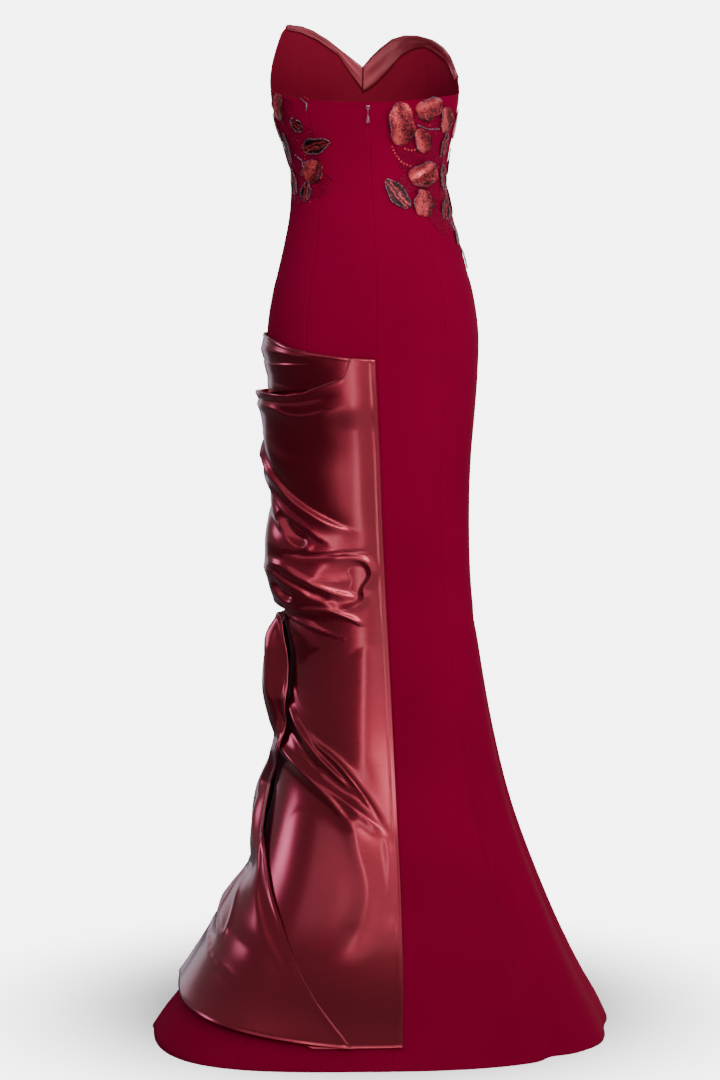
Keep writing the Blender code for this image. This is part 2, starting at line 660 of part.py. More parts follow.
def build_zip(collection, cutters, material):
    """The slider lies on the back seam, and the pull tab hangs from a bar between its ears."""
    seat = off_body(ZIP_HEIGHT, 0.0, LIE)
    x, y, z = (float(value) for value in seat)
    face = y - SLIDER_THICK
    bar = (x, face - BAR_STAND, z)
    base_middle = (0.0, y - SLIDER_THICK / 2 - bar[1], 0.0)
    base = box_mesh("zip_slider", (SLIDER_WIDTH, SLIDER_THICK, SLIDER_LENGTH), base_middle)
    slider = add_object("zip_slider", base, collection, material)
    slider.location = bar
    ear_depth = BAR_STAND + 2 * BAR_RADIUS
    ear_x = SLIDER_WIDTH / 2 - EAR_THICK / 2
    ear_y = BAR_STAND + SLIDER_THICK / 2 - ear_depth / 2
    for side, name in ((-1, "ear_left"), (1, "ear_right")):
        ear = box_mesh(name, (EAR_THICK, ear_depth, EAR_LENGTH), (side * ear_x, ear_y, 0.0))
        join_with(slider, bpy.data.objects.new(name, ear), "UNION", cutters)
    rod = rod_mesh("bar", BAR_RADIUS, SLIDER_WIDTH - EAR_THICK)
    join_with(slider, bpy.data.objects.new("bar", rod), "UNION", cutters)

    eye = rod_mesh("zip_pull", PULL_EYE, PULL_EYE_WIDTH)
    pull = add_object("zip_pull", eye, collection, material)
    pull.location = bar
    stem_middle = (0.0, 0.0, -PULL_HOLE - PULL_STEM / 2)
    stem = box_mesh("stem", (PULL_STEM_WIDTH, PULL_THICK, PULL_STEM), stem_middle)
    join_with(pull, bpy.data.objects.new("stem", stem), "UNION", cutters)
    drop = drop_mesh("drop")
    drop.transform(Matrix.Translation((0.0, 0.0, -PULL_STEM)))
    join_with(pull, bpy.data.objects.new("drop", drop), "UNION", cutters)
    hole = rod_mesh("hole", PULL_HOLE, 2 * PULL_EYE_WIDTH)
    join_with(pull, bpy.data.objects.new("hole", hole), "DIFFERENCE", cutters)


def main():
    clear_scene()
    gown = new_collection("Trumpet gown")
    cutters = new_collection("Cutters")
    materials = make_materials()
    build_panels(gown, materials["crepe"])
    build_cuffs(gown, materials["satin"])
    build_drape(gown, materials["satin"])
    build_motifs(gown, materials["petal_cloth"])
    build_zip(gown, cutters, materials["zip_metal"])


main()
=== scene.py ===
"""Looks of the strapless trumpet gown: crepe panels, satin cuffs, a draped panel of changeable satin,
beaded flower applique and the back zip. Metres, +Z up, the wearer faces +Y and the zip is at -Y."""

import json
import logging
import math
from dataclasses import dataclass, field
from enum import Enum
from typing import Any, NamedTuple

import bmesh
import bpy
import numpy as np
from mathutils import Matrix, Vector


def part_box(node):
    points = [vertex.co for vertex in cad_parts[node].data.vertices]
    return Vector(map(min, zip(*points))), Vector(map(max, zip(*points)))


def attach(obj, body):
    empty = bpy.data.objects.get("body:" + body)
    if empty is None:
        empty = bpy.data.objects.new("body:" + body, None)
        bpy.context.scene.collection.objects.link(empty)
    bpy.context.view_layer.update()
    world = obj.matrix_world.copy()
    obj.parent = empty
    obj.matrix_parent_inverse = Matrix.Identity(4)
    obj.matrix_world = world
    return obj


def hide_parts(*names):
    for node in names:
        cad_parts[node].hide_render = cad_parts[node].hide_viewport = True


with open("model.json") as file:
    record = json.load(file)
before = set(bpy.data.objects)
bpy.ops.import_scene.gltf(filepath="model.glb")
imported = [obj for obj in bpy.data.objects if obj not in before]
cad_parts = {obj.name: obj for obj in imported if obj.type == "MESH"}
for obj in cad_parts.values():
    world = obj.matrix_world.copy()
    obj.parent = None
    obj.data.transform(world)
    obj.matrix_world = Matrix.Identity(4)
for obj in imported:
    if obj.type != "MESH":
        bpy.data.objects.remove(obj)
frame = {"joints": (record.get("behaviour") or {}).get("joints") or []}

LOG = logging.getLogger("gown")
GOWN_BODY = "gown"
PULL_BODY = "zip_pull"

# Driving sizes, the same as in the part's source
WAIST = 1.170
CLOTH = 0.0018
SATIN = 0.0020
CUFF = 0.0012
PETAL = 0.0012
CUFF_LIE = 0.0007
MOTIF_LIE = 0.0005
DRAPE_LIE = 0.0021
LEAF_LIE = SATIN + 2 * DRAPE_LIE
MAIN_OVER_TIER = SATIN + DRAPE_LIE
SQUARENESS = 0.035
LEAF_ROLL = 13.0
LEAF_ROLL_LEAST = 0.15
LEAF_FREE_HEIGHT = 0.54
LEAF_FREE_SPAN = 0.10
LEAF_SPAN = 0.011
MAIN_REACH = (-98.0, -90.0)
FOLD_POWER = 1.45
DRAPE_RADIUS = 0.130
FOLD_STEP = 0.0012


class Slot(Enum):
    """The record's material slots."""

    CREPE = "crepe"
    SATIN = "satin"
    CUFF = "cuff_satin"
    APPLIQUE = "applique"
    ZIP = "zip_metal"


class Hold(Enum):
    """How a sheet of cloth is held."""

    HUNG = "hung"
    FOLDED = "folded"
    DRAPED = "draped"


class Shape(Enum):
    """Outlines of the applique pieces."""

    PETAL = "petal"
    LEAF = "leaf"


class Section(NamedTuple):
    """Level section of the gown's body at one height above the hem."""

    height: float
    centre: float
    half_width: float
    back: float
    front: float
    left_sweep: float
    right_sweep: float


class SkirtFold(NamedTuple):
    """Soft fold that runs up the skirt from the hem: a trough where the depth is negative."""

    angle: float
    top: float
    depth: float
    half_angle: float


class Crease(NamedTuple):
    """Fold across a panel, with the heights of its start, middle and end."""

    start: float
    end: float
    first: float
    middle: float
    last: float
    depth: float
    above: float
    below: float


class Swell(NamedTuple):
    """A cushion of puffed cloth, or a hollow where the rise is negative. slant is metres per degree."""

    angle: float
    height: float
    half_angle: float
    half_height: float
    slant: float
    rise: float


class Fold(NamedTuple):
    """Fold of the satin along a path of (angle, height) places.

    above and below are the metres outwards just beside the path, on the left and on the right of
    its run, and the two widths say how far each reaches. Where they differ, the cloth steps.
    """

    path: tuple
    above: float
    above_width: float
    below: float
    below_width: float
    power: float = FOLD_POWER


class Edge(NamedTuple):
    """A point of an edge: angle round the body, height above the hem."""

    angle: float
    height: float


class Puff(NamedTuple):
    """How far the drape stands off the wearer's left side at a height."""

    height: float
    off: float


class Level(NamedTuple):
    """One row of a drape piece, from its left end to its right end."""

    left_angle: float
    left_height: float
    right_angle: float
    right_height: float


class Motif(NamedTuple):
    """Raised petal or leaf: its middle, size, turn from upright, and the curl of its edges."""

    name: str
    angle: float
    height: float
    length: float
    width: float
    turn: float
    curl: float


def table_of(kind: Any, *values: tuple) -> list:
    """A table whose rows are all of one kind."""
    return [kind(*row) for row in values]


SECTIONS = table_of(
    Section,
    (0.000, 0.014, 0.3220, 0.370, 0.175, 0.135, 0.065),
    (0.020, 0.017, 0.3100, 0.346, 0.168, 0.122, 0.058),
    (0.060, 0.024, 0.2800, 0.300, 0.158, 0.092, 0.045),
    (0.120, 0.030, 0.2440, 0.248, 0.147, 0.060, 0.030),
    (0.200, 0.033, 0.2070, 0.196, 0.132, 0.028, 0.014),
    (0.300, 0.032, 0.1720, 0.146, 0.115, 0.008, 0.004),
    (0.400, 0.029, 0.1500, 0.112, 0.103, 0.000, 0.000),
    (0.500, 0.025, 0.1355, 0.092, 0.095, 0.000, 0.000),
    (0.600, 0.020, 0.1265, 0.084, 0.092, 0.000, 0.000),
    (0.700, 0.015, 0.1275, 0.090, 0.097, 0.000, 0.000),
    (0.800, 0.011, 0.1340, 0.103, 0.102, 0.000, 0.000),
    (0.860, 0.008, 0.1420, 0.115, 0.104, 0.000, 0.000),
    (0.920, 0.005, 0.1490, 0.124, 0.103, 0.000, 0.000),
    (0.975, 0.004, 0.1505, 0.125, 0.100, 0.000, 0.000),
    (1.030, 0.004, 0.1425, 0.113, 0.095, 0.000, 0.000),
    (1.090, 0.003, 0.1270, 0.093, 0.088, 0.000, 0.000),
    (1.145, 0.001, 0.1150, 0.079, 0.083, 0.000, 0.000),
    (1.170, -0.001, 0.1115, 0.076, 0.083, 0.000, 0.000),
    (1.200, -0.002, 0.1110, 0.076, 0.085, 0.000, 0.000),
    (1.235, -0.004, 0.1175, 0.082, 0.092, 0.000, 0.000),
    (1.260, -0.006, 0.1255, 0.088, 0.097, 0.000, 0.000),
    (1.290, -0.007, 0.1310, 0.093, 0.101, 0.000, 0.000),
    (1.320, -0.007, 0.1345, 0.095, 0.101, 0.000, 0.000),
    (1.420, -0.007, 0.1330, 0.088, 0.089, 0.000, 0.000),
)
SKIRT_FOLDS = table_of(
    SkirtFold,
    (43, 0.58, -0.011, 4.2), (60, 0.46, 0.006, 7.0), (77, 0.58, -0.006, 6.0),
    (108, 0.50, -0.007, 6.5), (128, 0.44, 0.006, 8.0), (150, 0.54, -0.008, 6.0),
    (174, 0.48, 0.006, 8.0), (-158, 0.52, -0.007, 6.5), (-126, 0.46, -0.006, 6.5),
    (-98, 0.16, 0.005, 6.0),
)
# Small drag lines of the crepe, too soft for the solids
CREPE_CREASES = table_of(
    Crease,
    (4, 60, 1.118, 1.112, 1.098, -0.0006, 0.007, 0.010),
    (-58, -6, 1.096, 1.110, 1.115, -0.0006, 0.009, 0.007),
    (20, 96, 1.074, 1.070, 1.052, -0.0007, 0.009, 0.012),
    (-100, -22, 1.050, 1.068, 1.076, -0.0006, 0.010, 0.010),
    (10, 70, 0.640, 0.628, 0.600, -0.0012, 0.012, 0.016),
    (52, 128, 0.585, 0.562, 0.566, -0.0013, 0.013, 0.018),
    (30, 84, 0.520, 0.500, 0.470, 0.0010, 0.015, 0.020),
    (118, 214, 0.640, 0.612, 0.628, -0.0014, 0.012, 0.018),
    (150, 236, 0.556, 0.540, 0.566, -0.0012, 0.013, 0.017),
    (128, 232, 1.132, 1.120, 1.134, -0.0008, 0.008, 0.010),
    (112, 176, 1.088, 1.066, 1.060, -0.0008, 0.010, 0.012),
)
CUP_ANGLE = 146.0
CUP_HEIGHT = 1.275
CUP_DEPTH = 0.022
CUP_HALF_ANGLE = 22.0
CUP_HALF_HEIGHT = 0.050
TOP_EDGE = table_of(
    Edge,
    (-180, 1.354), (-171, 1.370), (-158, 1.392), (-148, 1.404), (-140, 1.409), (-128, 1.410),
    (-121, 1.400), (-112, 1.371), (-101, 1.340), (-90, 1.318), (-78, 1.310), (-58, 1.302),
    (-39, 1.295), (-20, 1.291), (0, 1.290), (20, 1.292), (39, 1.297), (67, 1.305), (90, 1.313),
    (101, 1.329), (110, 1.345), (118, 1.366), (125, 1.379), (134, 1.390), (145, 1.397),
    (154, 1.398), (162, 1.393), (169, 1.381), (175, 1.368), (180, 1.354),
)
CUFF_EDGE = table_of(
    Edge,
    (-180, 1.322), (-172, 1.348), (-165, 1.372), (-151, 1.392), (-138, 1.402), (-126, 1.404),
    (104, 1.330), (112, 1.342), (122, 1.361), (134, 1.376), (140, 1.382), (148, 1.380),
    (156, 1.371), (165, 1.347), (173, 1.328), (180, 1.318),
)


def ease(share: Any) -> Any:
    """0 to 1 with a level start and end."""
    share = np.clip(share, 0.0, 1.0)
    return share * share * (3 - 2 * share)


def turn_between(angle: Any, other: float) -> Any:
    """Degrees from one angle to another, the short way round."""
    return (angle - other + 180.0) % 360.0 - 180.0


def smooth_column(table: list, column: str, at: Any) -> np.ndarray:
    """A column of a table, read between its rows as a smooth curve.

    Args:
        table: rows whose first field is the place along the curve.
        column: name of the field that is read.
        at: places to read.

    Returns:
        The values at those places.
    """
    knots = np.array([row[0] for row in table])
    values = np.array([getattr(row, column) for row in table])
    slopes = np.gradient(values, knots)
    at = np.clip(at, knots[0], knots[-1])
    i = np.clip(np.searchsorted(knots, at) - 1, 0, len(knots) - 2)
    span = knots[i + 1] - knots[i]
    u = (at - knots[i]) / span
    start = values[i] * (1 + 2 * u) + slopes[i] * span * u
    end = values[i + 1] * (3 - 2 * u) - slopes[i + 1] * span * (1 - u)
    return start * (1 - u) ** 2 + end * u * u


def straight_column(table: list, column: str, at: Any) -> np.ndarray:
    """A column of a table, read between its rows as straight lines."""
    return np.interp(at, [row[0] for row in table], [getattr(row, column) for row in table])


def crease_relief(
    creases: list[Crease], height: np.ndarray, angle: np.ndarray, power: float = 2.0
) -> np.ndarray:
    """Creases and ridges that run across a panel.

    Args:
        creases: the table of creases.
        height: heights above the hem.
        angle: angles round the body.
        power: 2 for a round fold, less for one with a crisp line.

    Returns:
        Metres outwards at each point.
    """
    out = np.zeros(np.broadcast(height, angle).shape)
    for crease in creases:
        share = (angle - crease.start) / (crease.end - crease.start)
        near = np.clip(share, 0.0, 1.0)
        line = crease.first + (crease.last - crease.first) * near
        line = line + 4 * near * (1 - near) * (crease.middle - (crease.first + crease.last) / 2)
        fade = ease(share / 0.15) * ease((1 - share) / 0.15)
        away = height - line
        width = np.where(away > 0, crease.above, crease.below)
        out = out + crease.depth * fade * np.exp(-(np.abs(away / width) ** power))
    return out


def swell_relief(swells: list[Swell], height: np.ndarray, angle: np.ndarray) -> np.ndarray:
    """Cushions and hollows with flat middles and steep rims, as metres outwards."""
    out = np.zeros(np.broadcast(height, angle).shape)
    for swell in swells:
        turn = angle - swell.angle
        across = turn / swell.half_angle
        up = (height - swell.height - swell.slant * turn) / swell.half_height
        out = out + swell.rise * np.exp(-((across**2 + up**2) ** 2))
    return out


def smooth_path(places: tuple) -> np.ndarray:
    """A path of places with its corners cut twice."""
    path = np.array(places, float)
    path[:, 0] = np.radians(path[:, 0]) * DRAPE_RADIUS
    for _ in range(2):
        first, second = path[:-1], path[1:]
        cut = np.stack([first * 0.75 + second * 0.25, first * 0.25 + second * 0.75], axis=1)
        path = np.concatenate([path[:1], cut.reshape(-1, 2)[1:-1], path[-1:]])
    return path


def fold_relief(folds: list[Fold], height: np.ndarray, angle: np.ndarray) -> np.ndarray:
    """Folds that run along paths.

    Args:
        folds: the table of folds.
        height: heights above the hem.
        angle: angles round the body.

    Returns:
        Metres outwards at each point.
    """
    height, angle = np.broadcast_arrays(height, angle)
    here = np.stack([np.radians(angle) * DRAPE_RADIUS, height], axis=-1)
    out = np.zeros(height.shape)
    for fold in folds:
        path = smooth_path(fold.path)
        steps = np.diff(path, axis=0)
        lengths = np.linalg.norm(steps, axis=1)
        reach = np.concatenate([[0.0], np.cumsum(lengths)])
        nearest = np.full(height.shape, np.inf)
        away, run = np.zeros(height.shape), np.zeros(height.shape)
        for i, step in enumerate(steps):
            toward = here - path[i]
            share = np.clip((toward @ step) / lengths[i] ** 2, 0.0, 1.0)
            distance = np.linalg.norm(toward - share[..., None] * step, axis=-1)
            side = step[0] * toward[..., 1] - step[1] * toward[..., 0]
            closer = distance < nearest
            nearest = np.where(closer, distance, nearest)
            away = np.where(closer, np.copysign(distance, side), away)
            run = np.where(closer, (reach[i] + share * lengths[i]) / reach[-1], run)
        over = 0.5 * (1 + np.tanh(away / FOLD_STEP))
        above = fold.above * np.exp(-((np.maximum(away, 0) / fold.above_width) ** fold.power))
        below = fold.below * np.exp(-((np.maximum(-away, 0) / fold.below_width) ** fold.power))
        out = out + (over * above + (1 - over) * below) * ease(run / 0.2) * ease((1 - run) / 0.2)
    return out


def even_out(values: np.ndarray, passes: int) -> np.ndarray:
    """A grid of values, each averaged with its neighbours a number of times."""
    for _ in range(passes):
        wide = np.pad(values, 1, mode="edge")
        values = 0.5 * values + 0.125 * (
            wide[:-2, 1:-1] + wide[2:, 1:-1] + wide[1:-1, :-2] + wide[1:-1, 2:]
        )
    return values


@dataclass(frozen=True)
class GownForm:
    """The outer face of the gown's body, as a function of height and angle."""

    normal_rise: float = 0.002
    normal_turn: float = 1.0

    def relief(self, height: np.ndarray, angle: np.ndarray) -> np.ndarray:
        """Skirt folds, bust cups and small drag lines, as metres outwards."""
        out = np.zeros(np.broadcast(height, angle).shape)
        for fold in SKIRT_FOLDS:
            across = np.exp(-((turn_between(angle, fold.angle) / fold.half_angle) ** 2))
            out = out + fold.depth * across * ease((fold.top - height) / fold.top * 1.4)
        for side in (-CUP_ANGLE, CUP_ANGLE):
            across = np.exp(-((turn_between(angle, side) / CUP_HALF_ANGLE) ** 2))
            up = np.exp(-(((height - CUP_HEIGHT) / CUP_HALF_HEIGHT) ** 2))
            out = out + CUP_DEPTH * across * up
        return out + crease_relief(CREPE_CREASES, height, np.where(angle < -120, angle + 360, angle))

    def points(self, height: Any, angle: Any) -> np.ndarray:
        """Points of the outer face.

        Args:
            height: heights above the hem.
            angle: degrees from the centre back, positive to the wearer's right.

        Returns:
            An array of points in the row frame.
        """
        height = np.asarray(height, float)
        angle = np.asarray(angle, float)
        sine = np.sin(np.radians(angle))
        cosine = np.cos(np.radians(angle))
        full = 1 + SQUARENESS * np.sin(2 * np.radians(angle)) ** 2
        relief = self.relief(height, angle)
        read = {name: smooth_column(SECTIONS, name, height) for name in Section._fields[1:]}
        depth = np.where(cosine > 0, read["back"], read["front"])
        sweep = np.where(sine < 0, read["left_sweep"], read["right_sweep"])
        x = read["centre"] + (read["half_width"] * full + relief) * sine
        y = -(depth * full + relief) * cosine - sweep * sine * sine
        return np.stack([x, y, height + 0.0 * angle - WAIST], axis=-1)

    def normals(self, height: Any, angle: Any) -> np.ndarray:
        """Outward directions of that face."""
        up = self.points(height + self.normal_rise, angle)
        up = up - self.points(height - self.normal_rise, angle)
        across = self.points(height, angle + self.normal_turn)
        across = across - self.points(height, angle - self.normal_turn)
        out = np.cross(across, up)
        return out / np.linalg.norm(out, axis=-1, keepdims=True)

    def off(self, height: Any, angle: Any, off: Any) -> np.ndarray:
        """Points some way off the outer face, never under the hem's level."""
        height, angle, off = np.broadcast_arrays(
            np.asarray(height, float), np.asarray(angle, float), np.asarray(off, float)
        )
        points = self.points(height, angle) + self.normals(height, angle) * off[..., None]
        points[..., 2] = np.maximum(points[..., 2], -WAIST)
        return points

    def top(self, angle: Any) -> np.ndarray:
        """Height of the top edge."""
        return straight_column(TOP_EDGE, "height", turn_between(np.asarray(angle, float), 0.0))

    def radius(self, height: Any) -> np.ndarray:
        """Smallest half width of the section, which turns a seam's width into degrees."""
        back = smooth_column(SECTIONS, "back", height)
        front = smooth_column(SECTIONS, "front", height)
        return np.minimum(smooth_column(SECTIONS, "half_width", height), np.minimum(back, front))


FORM = GownForm()
UPWARD = np.array([0.0, 0.0, 1.0])


def linear(colour: str) -> tuple[float, float, float, float]:
    """An sRGB hex value as the linear colour that a shader takes."""
    parts = [int(colour[i : i + 2], 16) / 255 for i in (1, 3, 5)]
    red, green, blue = (p / 12.92 if p <= 0.04045 else ((p + 0.055) / 1.055) ** 2.4 for p in parts)
    return (red, green, blue, 1.0)


def set_node(tree: Any, node: Any, settings: dict, links: dict) -> Any:
    """Gives a node its settings and links.

    Args:
        tree: the node tree it is in.
        node: the node.
        settings: values by property name, by socket name or by socket number. "stops" holds the
            places and hex colours of a colour ramp.
        links: output sockets by the name or number of the input they go into.

    Returns:
        The node.
    """
    for key, value in settings.items():
        if key == "stops":
            ramp = node.color_ramp.elements
            while len(ramp) < len(value):
                ramp.new(1.0)
            for element, (place, colour) in zip(ramp, value):
                element.position = place
                element.color = linear(colour)
        elif isinstance(key, str) and hasattr(node, key):
            setattr(node, key, value)
        else:
            node.inputs[key].default_value = value
    for key, socket in links.items():
        tree.links.new(socket, node.inputs[key])
    return node


def add_node(tree: Any, kind: str, settings: dict | None = None, links: dict | None = None) -> Any:
    """A new node of Blender's named kind, with its settings and links."""
    return set_node(tree, tree.nodes.new(kind), settings or {}, links or {})


def start_material(name: str) -> tuple[Any, Any, Any, Any]:
    """A new material, its node tree, its Principled shader and its texture coordinates."""
    material = bpy.data.materials.new(name)
    material.use_nodes = True
    tree = material.node_tree
    place = add_node(tree, "ShaderNodeTexCoord").outputs
    return material, tree, tree.nodes["Principled BSDF"], place


@dataclass(frozen=True)
class WovenCloth:
    """A plain woven cloth, with a grain in its surface and slow changes of tone.

    grain_mm is the size of the crepe's pebbles or of the threads. Real ones are 0.3 mm, and they
    are drawn coarser so that they show in a picture of the whole gown.
    """

    name: str
    colour: str
    deep: str
    roughness: float
    sheen: float
    sheen_colour: str
    grain_mm: float = 1.6
    bump: float = 0.25

    def make(self) -> Any:
        """Builds the material."""
        material, tree, shader, place = start_material(self.name)
        grain = add_node(
            tree, "ShaderNodeTexNoise",
            {"Scale": 1000 / self.grain_mm, "Detail": 2.0, "Roughness": 0.6},
            {"Vector": place["UV"]},
        )
        broad = add_node(
            tree, "ShaderNodeTexNoise", {"Scale": 5.0, "Detail": 2.0},
            {"Vector": place["Object"]},
        )
        mixed = add_node(
            tree, "ShaderNodeMath", {"operation": "MULTIPLY_ADD", 1: 0.35},
            {0: grain.outputs["Fac"], 2: broad.outputs["Fac"]},
        )
        tone = add_node(
            tree, "ShaderNodeValToRGB", {"stops": [(0.40, self.deep), (0.85, self.colour)]},
            {"Fac": mixed.outputs["Value"]},
        )
        raised = add_node(
            tree, "ShaderNodeBump", {"Strength": self.bump, "Distance": 0.0002},
            {"Height": grain.outputs["Fac"]},
        )
        settings = {
            "Roughness": self.roughness, "Specular IOR Level": 0.06, "Sheen Weight": self.sheen,
            "Sheen Roughness": 0.5, "Sheen Tint": linear(self.sheen_colour),
        }
        links = {"Base Color": tone.outputs["Color"], "Normal": raised.outputs["Normal"]}
        set_node(tree, shader, settings, links)
        return material


@dataclass(frozen=True)
class ChangeableSatin:
    """Satin organza woven with a red warp and a slate weft: red face on, grey-lilac at a slant.

    slub_mm is the spacing of its thicker threads, drawn at 2 mm where real ones are 0.4 mm.
    """

    name: str
    colour: str
    deep: str
    roughness: float
    metal: float
    sheen: float
    sheen_colour: str
    slub_mm: float = 2.0
    weft: float = 0.8

    def make(self) -> Any:
        """Builds the material."""
        material, tree, shader, place = start_material(self.name)
        stretched = add_node(
            tree, "ShaderNodeMapping", {"Scale": (26.0, 1000 / self.slub_mm, 1.0)},
            {"Vector": place["UV"]},
        )
        slubs = add_node(
            tree, "ShaderNodeTexNoise", {"Scale": 1.0, "Detail": 3.0, "Roughness": 0.6},
            {"Vector": stretched.outputs["Vector"]},
        )
        broad = add_node(
            tree, "ShaderNodeTexNoise", {"Scale": 6.0, "Detail": 1.0},
            {"Vector": place["Object"]},
        )
        mixed = add_node(
            tree, "ShaderNodeMath", {"operation": "MULTIPLY_ADD", 1: 0.5},
            {0: slubs.outputs["Fac"], 2: broad.outputs["Fac"]},
        )
        tone = add_node(
            tree, "ShaderNodeValToRGB", {"stops": [(0.45, self.deep), (0.95, self.colour)]},
            {"Fac": mixed.outputs["Value"]},
        )
        polish = add_node(
            tree, "ShaderNodeMapRange",
            {"To Min": self.roughness - 0.03, "To Max": self.roughness + 0.05},
            {"Value": slubs.outputs["Fac"]},
        )
        raised = add_node(
            tree, "ShaderNodeBump", {"Strength": 0.06, "Distance": 0.0003},
            {"Height": slubs.outputs["Fac"]},
        )
        settings = {
            "Metallic": self.metal, "Sheen Weight": self.sheen, "Sheen Roughness": 0.30,
            "Sheen Tint": linear(self.sheen_colour), "Coat Weight": self.weft,
            "Coat Roughness": self.roughness * 0.8, "Coat IOR": 1.55,
        }
        links = {
            "Base Color": tone.outputs["Color"], "Roughness": polish.outputs["Result"],
            "Normal": raised.outputs["Normal"],
        }
        set_node(tree, shader, settings, links)
        return material


@dataclass(frozen=True)
class SequinCloth:
    """Organza sewn all over with flat sequins, each lighter or darker at random as a painted glint, and
    darker towards its edges.

    sequin_mm is the width of a sequin. Real ones are 1.5 to 2 mm, and they are drawn at about
    1.5 mm. core and rim are the metres from the middle line where the dark edge starts and where it
    is whole; the dark edge is partly the cloth's own and partly painted shade, and rim_shade is how
    dark it is. pleat_scale sets how close the pleats' dark stripes of painted shade are, and
    pleat_shade_low how dark.
    """

    name: str
    light: str
    middle: str
    dark: str
    sequin_mm: float = 2.0
    metal: float = 0.55
    roughness: float = 0.28
    core: float = 0.0080
    rim: float = 0.0165
    pleat_scale: float = 9.0
    pleat_shade_low: float = 0.26
    rim_shade: float = 0.26

    def make(self) -> Any:
        """Builds the material."""
        material, tree, shader, place = start_material(self.name)
        cells = add_node(
            tree, "ShaderNodeTexVoronoi", {"Scale": 1000 / self.sequin_mm, "Randomness": 0.7},
            {"Vector": place["UV"]},
        )
        # The wave's dark stripes are painted shade in the pleats
        pleats = add_node(
            tree, "ShaderNodeTexWave",
            {"Scale": self.pleat_scale, "Distortion": 9.0, "Detail": 2.0, "Detail Scale": 1.5},
            {"Vector": place["UV"]},
        )
        spread = add_node(
            tree, "ShaderNodeMapRange", {"To Min": self.pleat_shade_low, "To Max": 0.66},
            {"Value": pleats.outputs["Fac"]},
        )
        # Each sequin's random lightness in the colour is a painted glint
        one = add_node(tree, "ShaderNodeSeparateColor", {}, {"Color": cells.outputs["Color"]})
        mixed = add_node(
            tree, "ShaderNodeMath", {"operation": "MULTIPLY_ADD", 1: 0.44},
            {0: one.outputs["Red"], 2: spread.outputs["Result"]},
        )
        axes = add_node(tree, "ShaderNodeSeparateXYZ", {}, {"Vector": place["UV"]})
        side = add_node(
            tree, "ShaderNodeMath", {"operation": "ABSOLUTE"}, {0: axes.outputs["X"]}
        )
        # Darker towards the edges: partly the cloth's own dark edge, partly painted shade
        edge = add_node(
            tree, "ShaderNodeMapRange",
            {"From Min": self.core, "From Max": self.rim, "To Max": self.rim_shade},
            {"Value": side.outputs["Value"]},
        )
        darker = add_node(
            tree, "ShaderNodeMath", {"operation": "SUBTRACT"},
            {0: mixed.outputs["Value"], 1: edge.outputs["Result"]},
        )
        tone = add_node(
            tree, "ShaderNodeValToRGB",
            {"stops": [(0.40, self.dark), (0.62, self.middle), (1.00, self.light)]},
            {"Fac": darker.outputs["Value"]},
        )
        raised = add_node(
            tree, "ShaderNodeBump", {"Strength": 0.7, "Distance": 0.0004},
            {"Height": cells.outputs["Distance"]},
        )
        settings = {"Metallic": self.metal, "Roughness": self.roughness}
        links = {"Base Color": tone.outputs["Color"], "Normal": raised.outputs["Normal"]}
        set_node(tree, shader, settings, links)
        return material


@dataclass(frozen=True)
class SheerOrganza:
    """Thin organza that lets the crepe under it show through.

    Its threads are drawn at about 1 mm, so that they show, where real ones are 0.1 mm.
    """

    name: str
    colour: str
    deep: str
    alpha: float = 0.55

    def make(self) -> Any:
        """Builds the material."""
        material, tree, shader, place = start_material(self.name)
        threads = add_node(
            tree, "ShaderNodeTexNoise", {"Scale": 900.0, "Detail": 1.0}, {"Vector": place["UV"]}
        )
        tone = add_node(
            tree, "ShaderNodeValToRGB", {"stops": [(0.35, self.deep), (0.7, self.colour)]},
            {"Fac": threads.outputs["Fac"]},
        )
        settings = {"Alpha": self.alpha, "Roughness": 0.35, "Specular IOR Level": 0.06}
        set_node(tree, shader, settings, {"Base Color": tone.outputs["Color"]})
        return material


@dataclass(frozen=True)
class Polished:
    """Enamelled metal, glass beads or foil sequins: a smooth skin with a little mottling."""

    name: str
    colour: str
    deep: str
    metal: float
    roughness: float
    mottle_mm: float

    def make(self) -> Any:
        """Builds the material."""
        material, tree, shader, place = start_material(self.name)
        mottle = add_node(
            tree, "ShaderNodeTexNoise", {"Scale": 1000 / self.mottle_mm, "Detail": 2.0},
            {"Vector": place["Object"]},
        )
        tone = add_node(
            tree, "ShaderNodeValToRGB", {"stops": [(0.40, self.deep), (0.60, self.colour)]},
            {"Fac": mottle.outputs["Fac"]},
        )
        polish = add_node(
            tree, "ShaderNodeMapRange",
            {"To Min": self.roughness * 0.7, "To Max": self.roughness * 1.4},
            {"Value": mottle.outputs["Fac"]},
        )
        settings = {"Metallic": self.metal, "Coat Weight": 0.3}
        links = {"Base Color": tone.outputs["Color"], "Roughness": polish.outputs["Result"]}
        set_node(tree, shader, settings, links)
        return material


def finish(recipe: Any) -> Any:
    """A field whose material is made from its recipe when the finishes are made."""
    return field(default_factory=recipe.make)


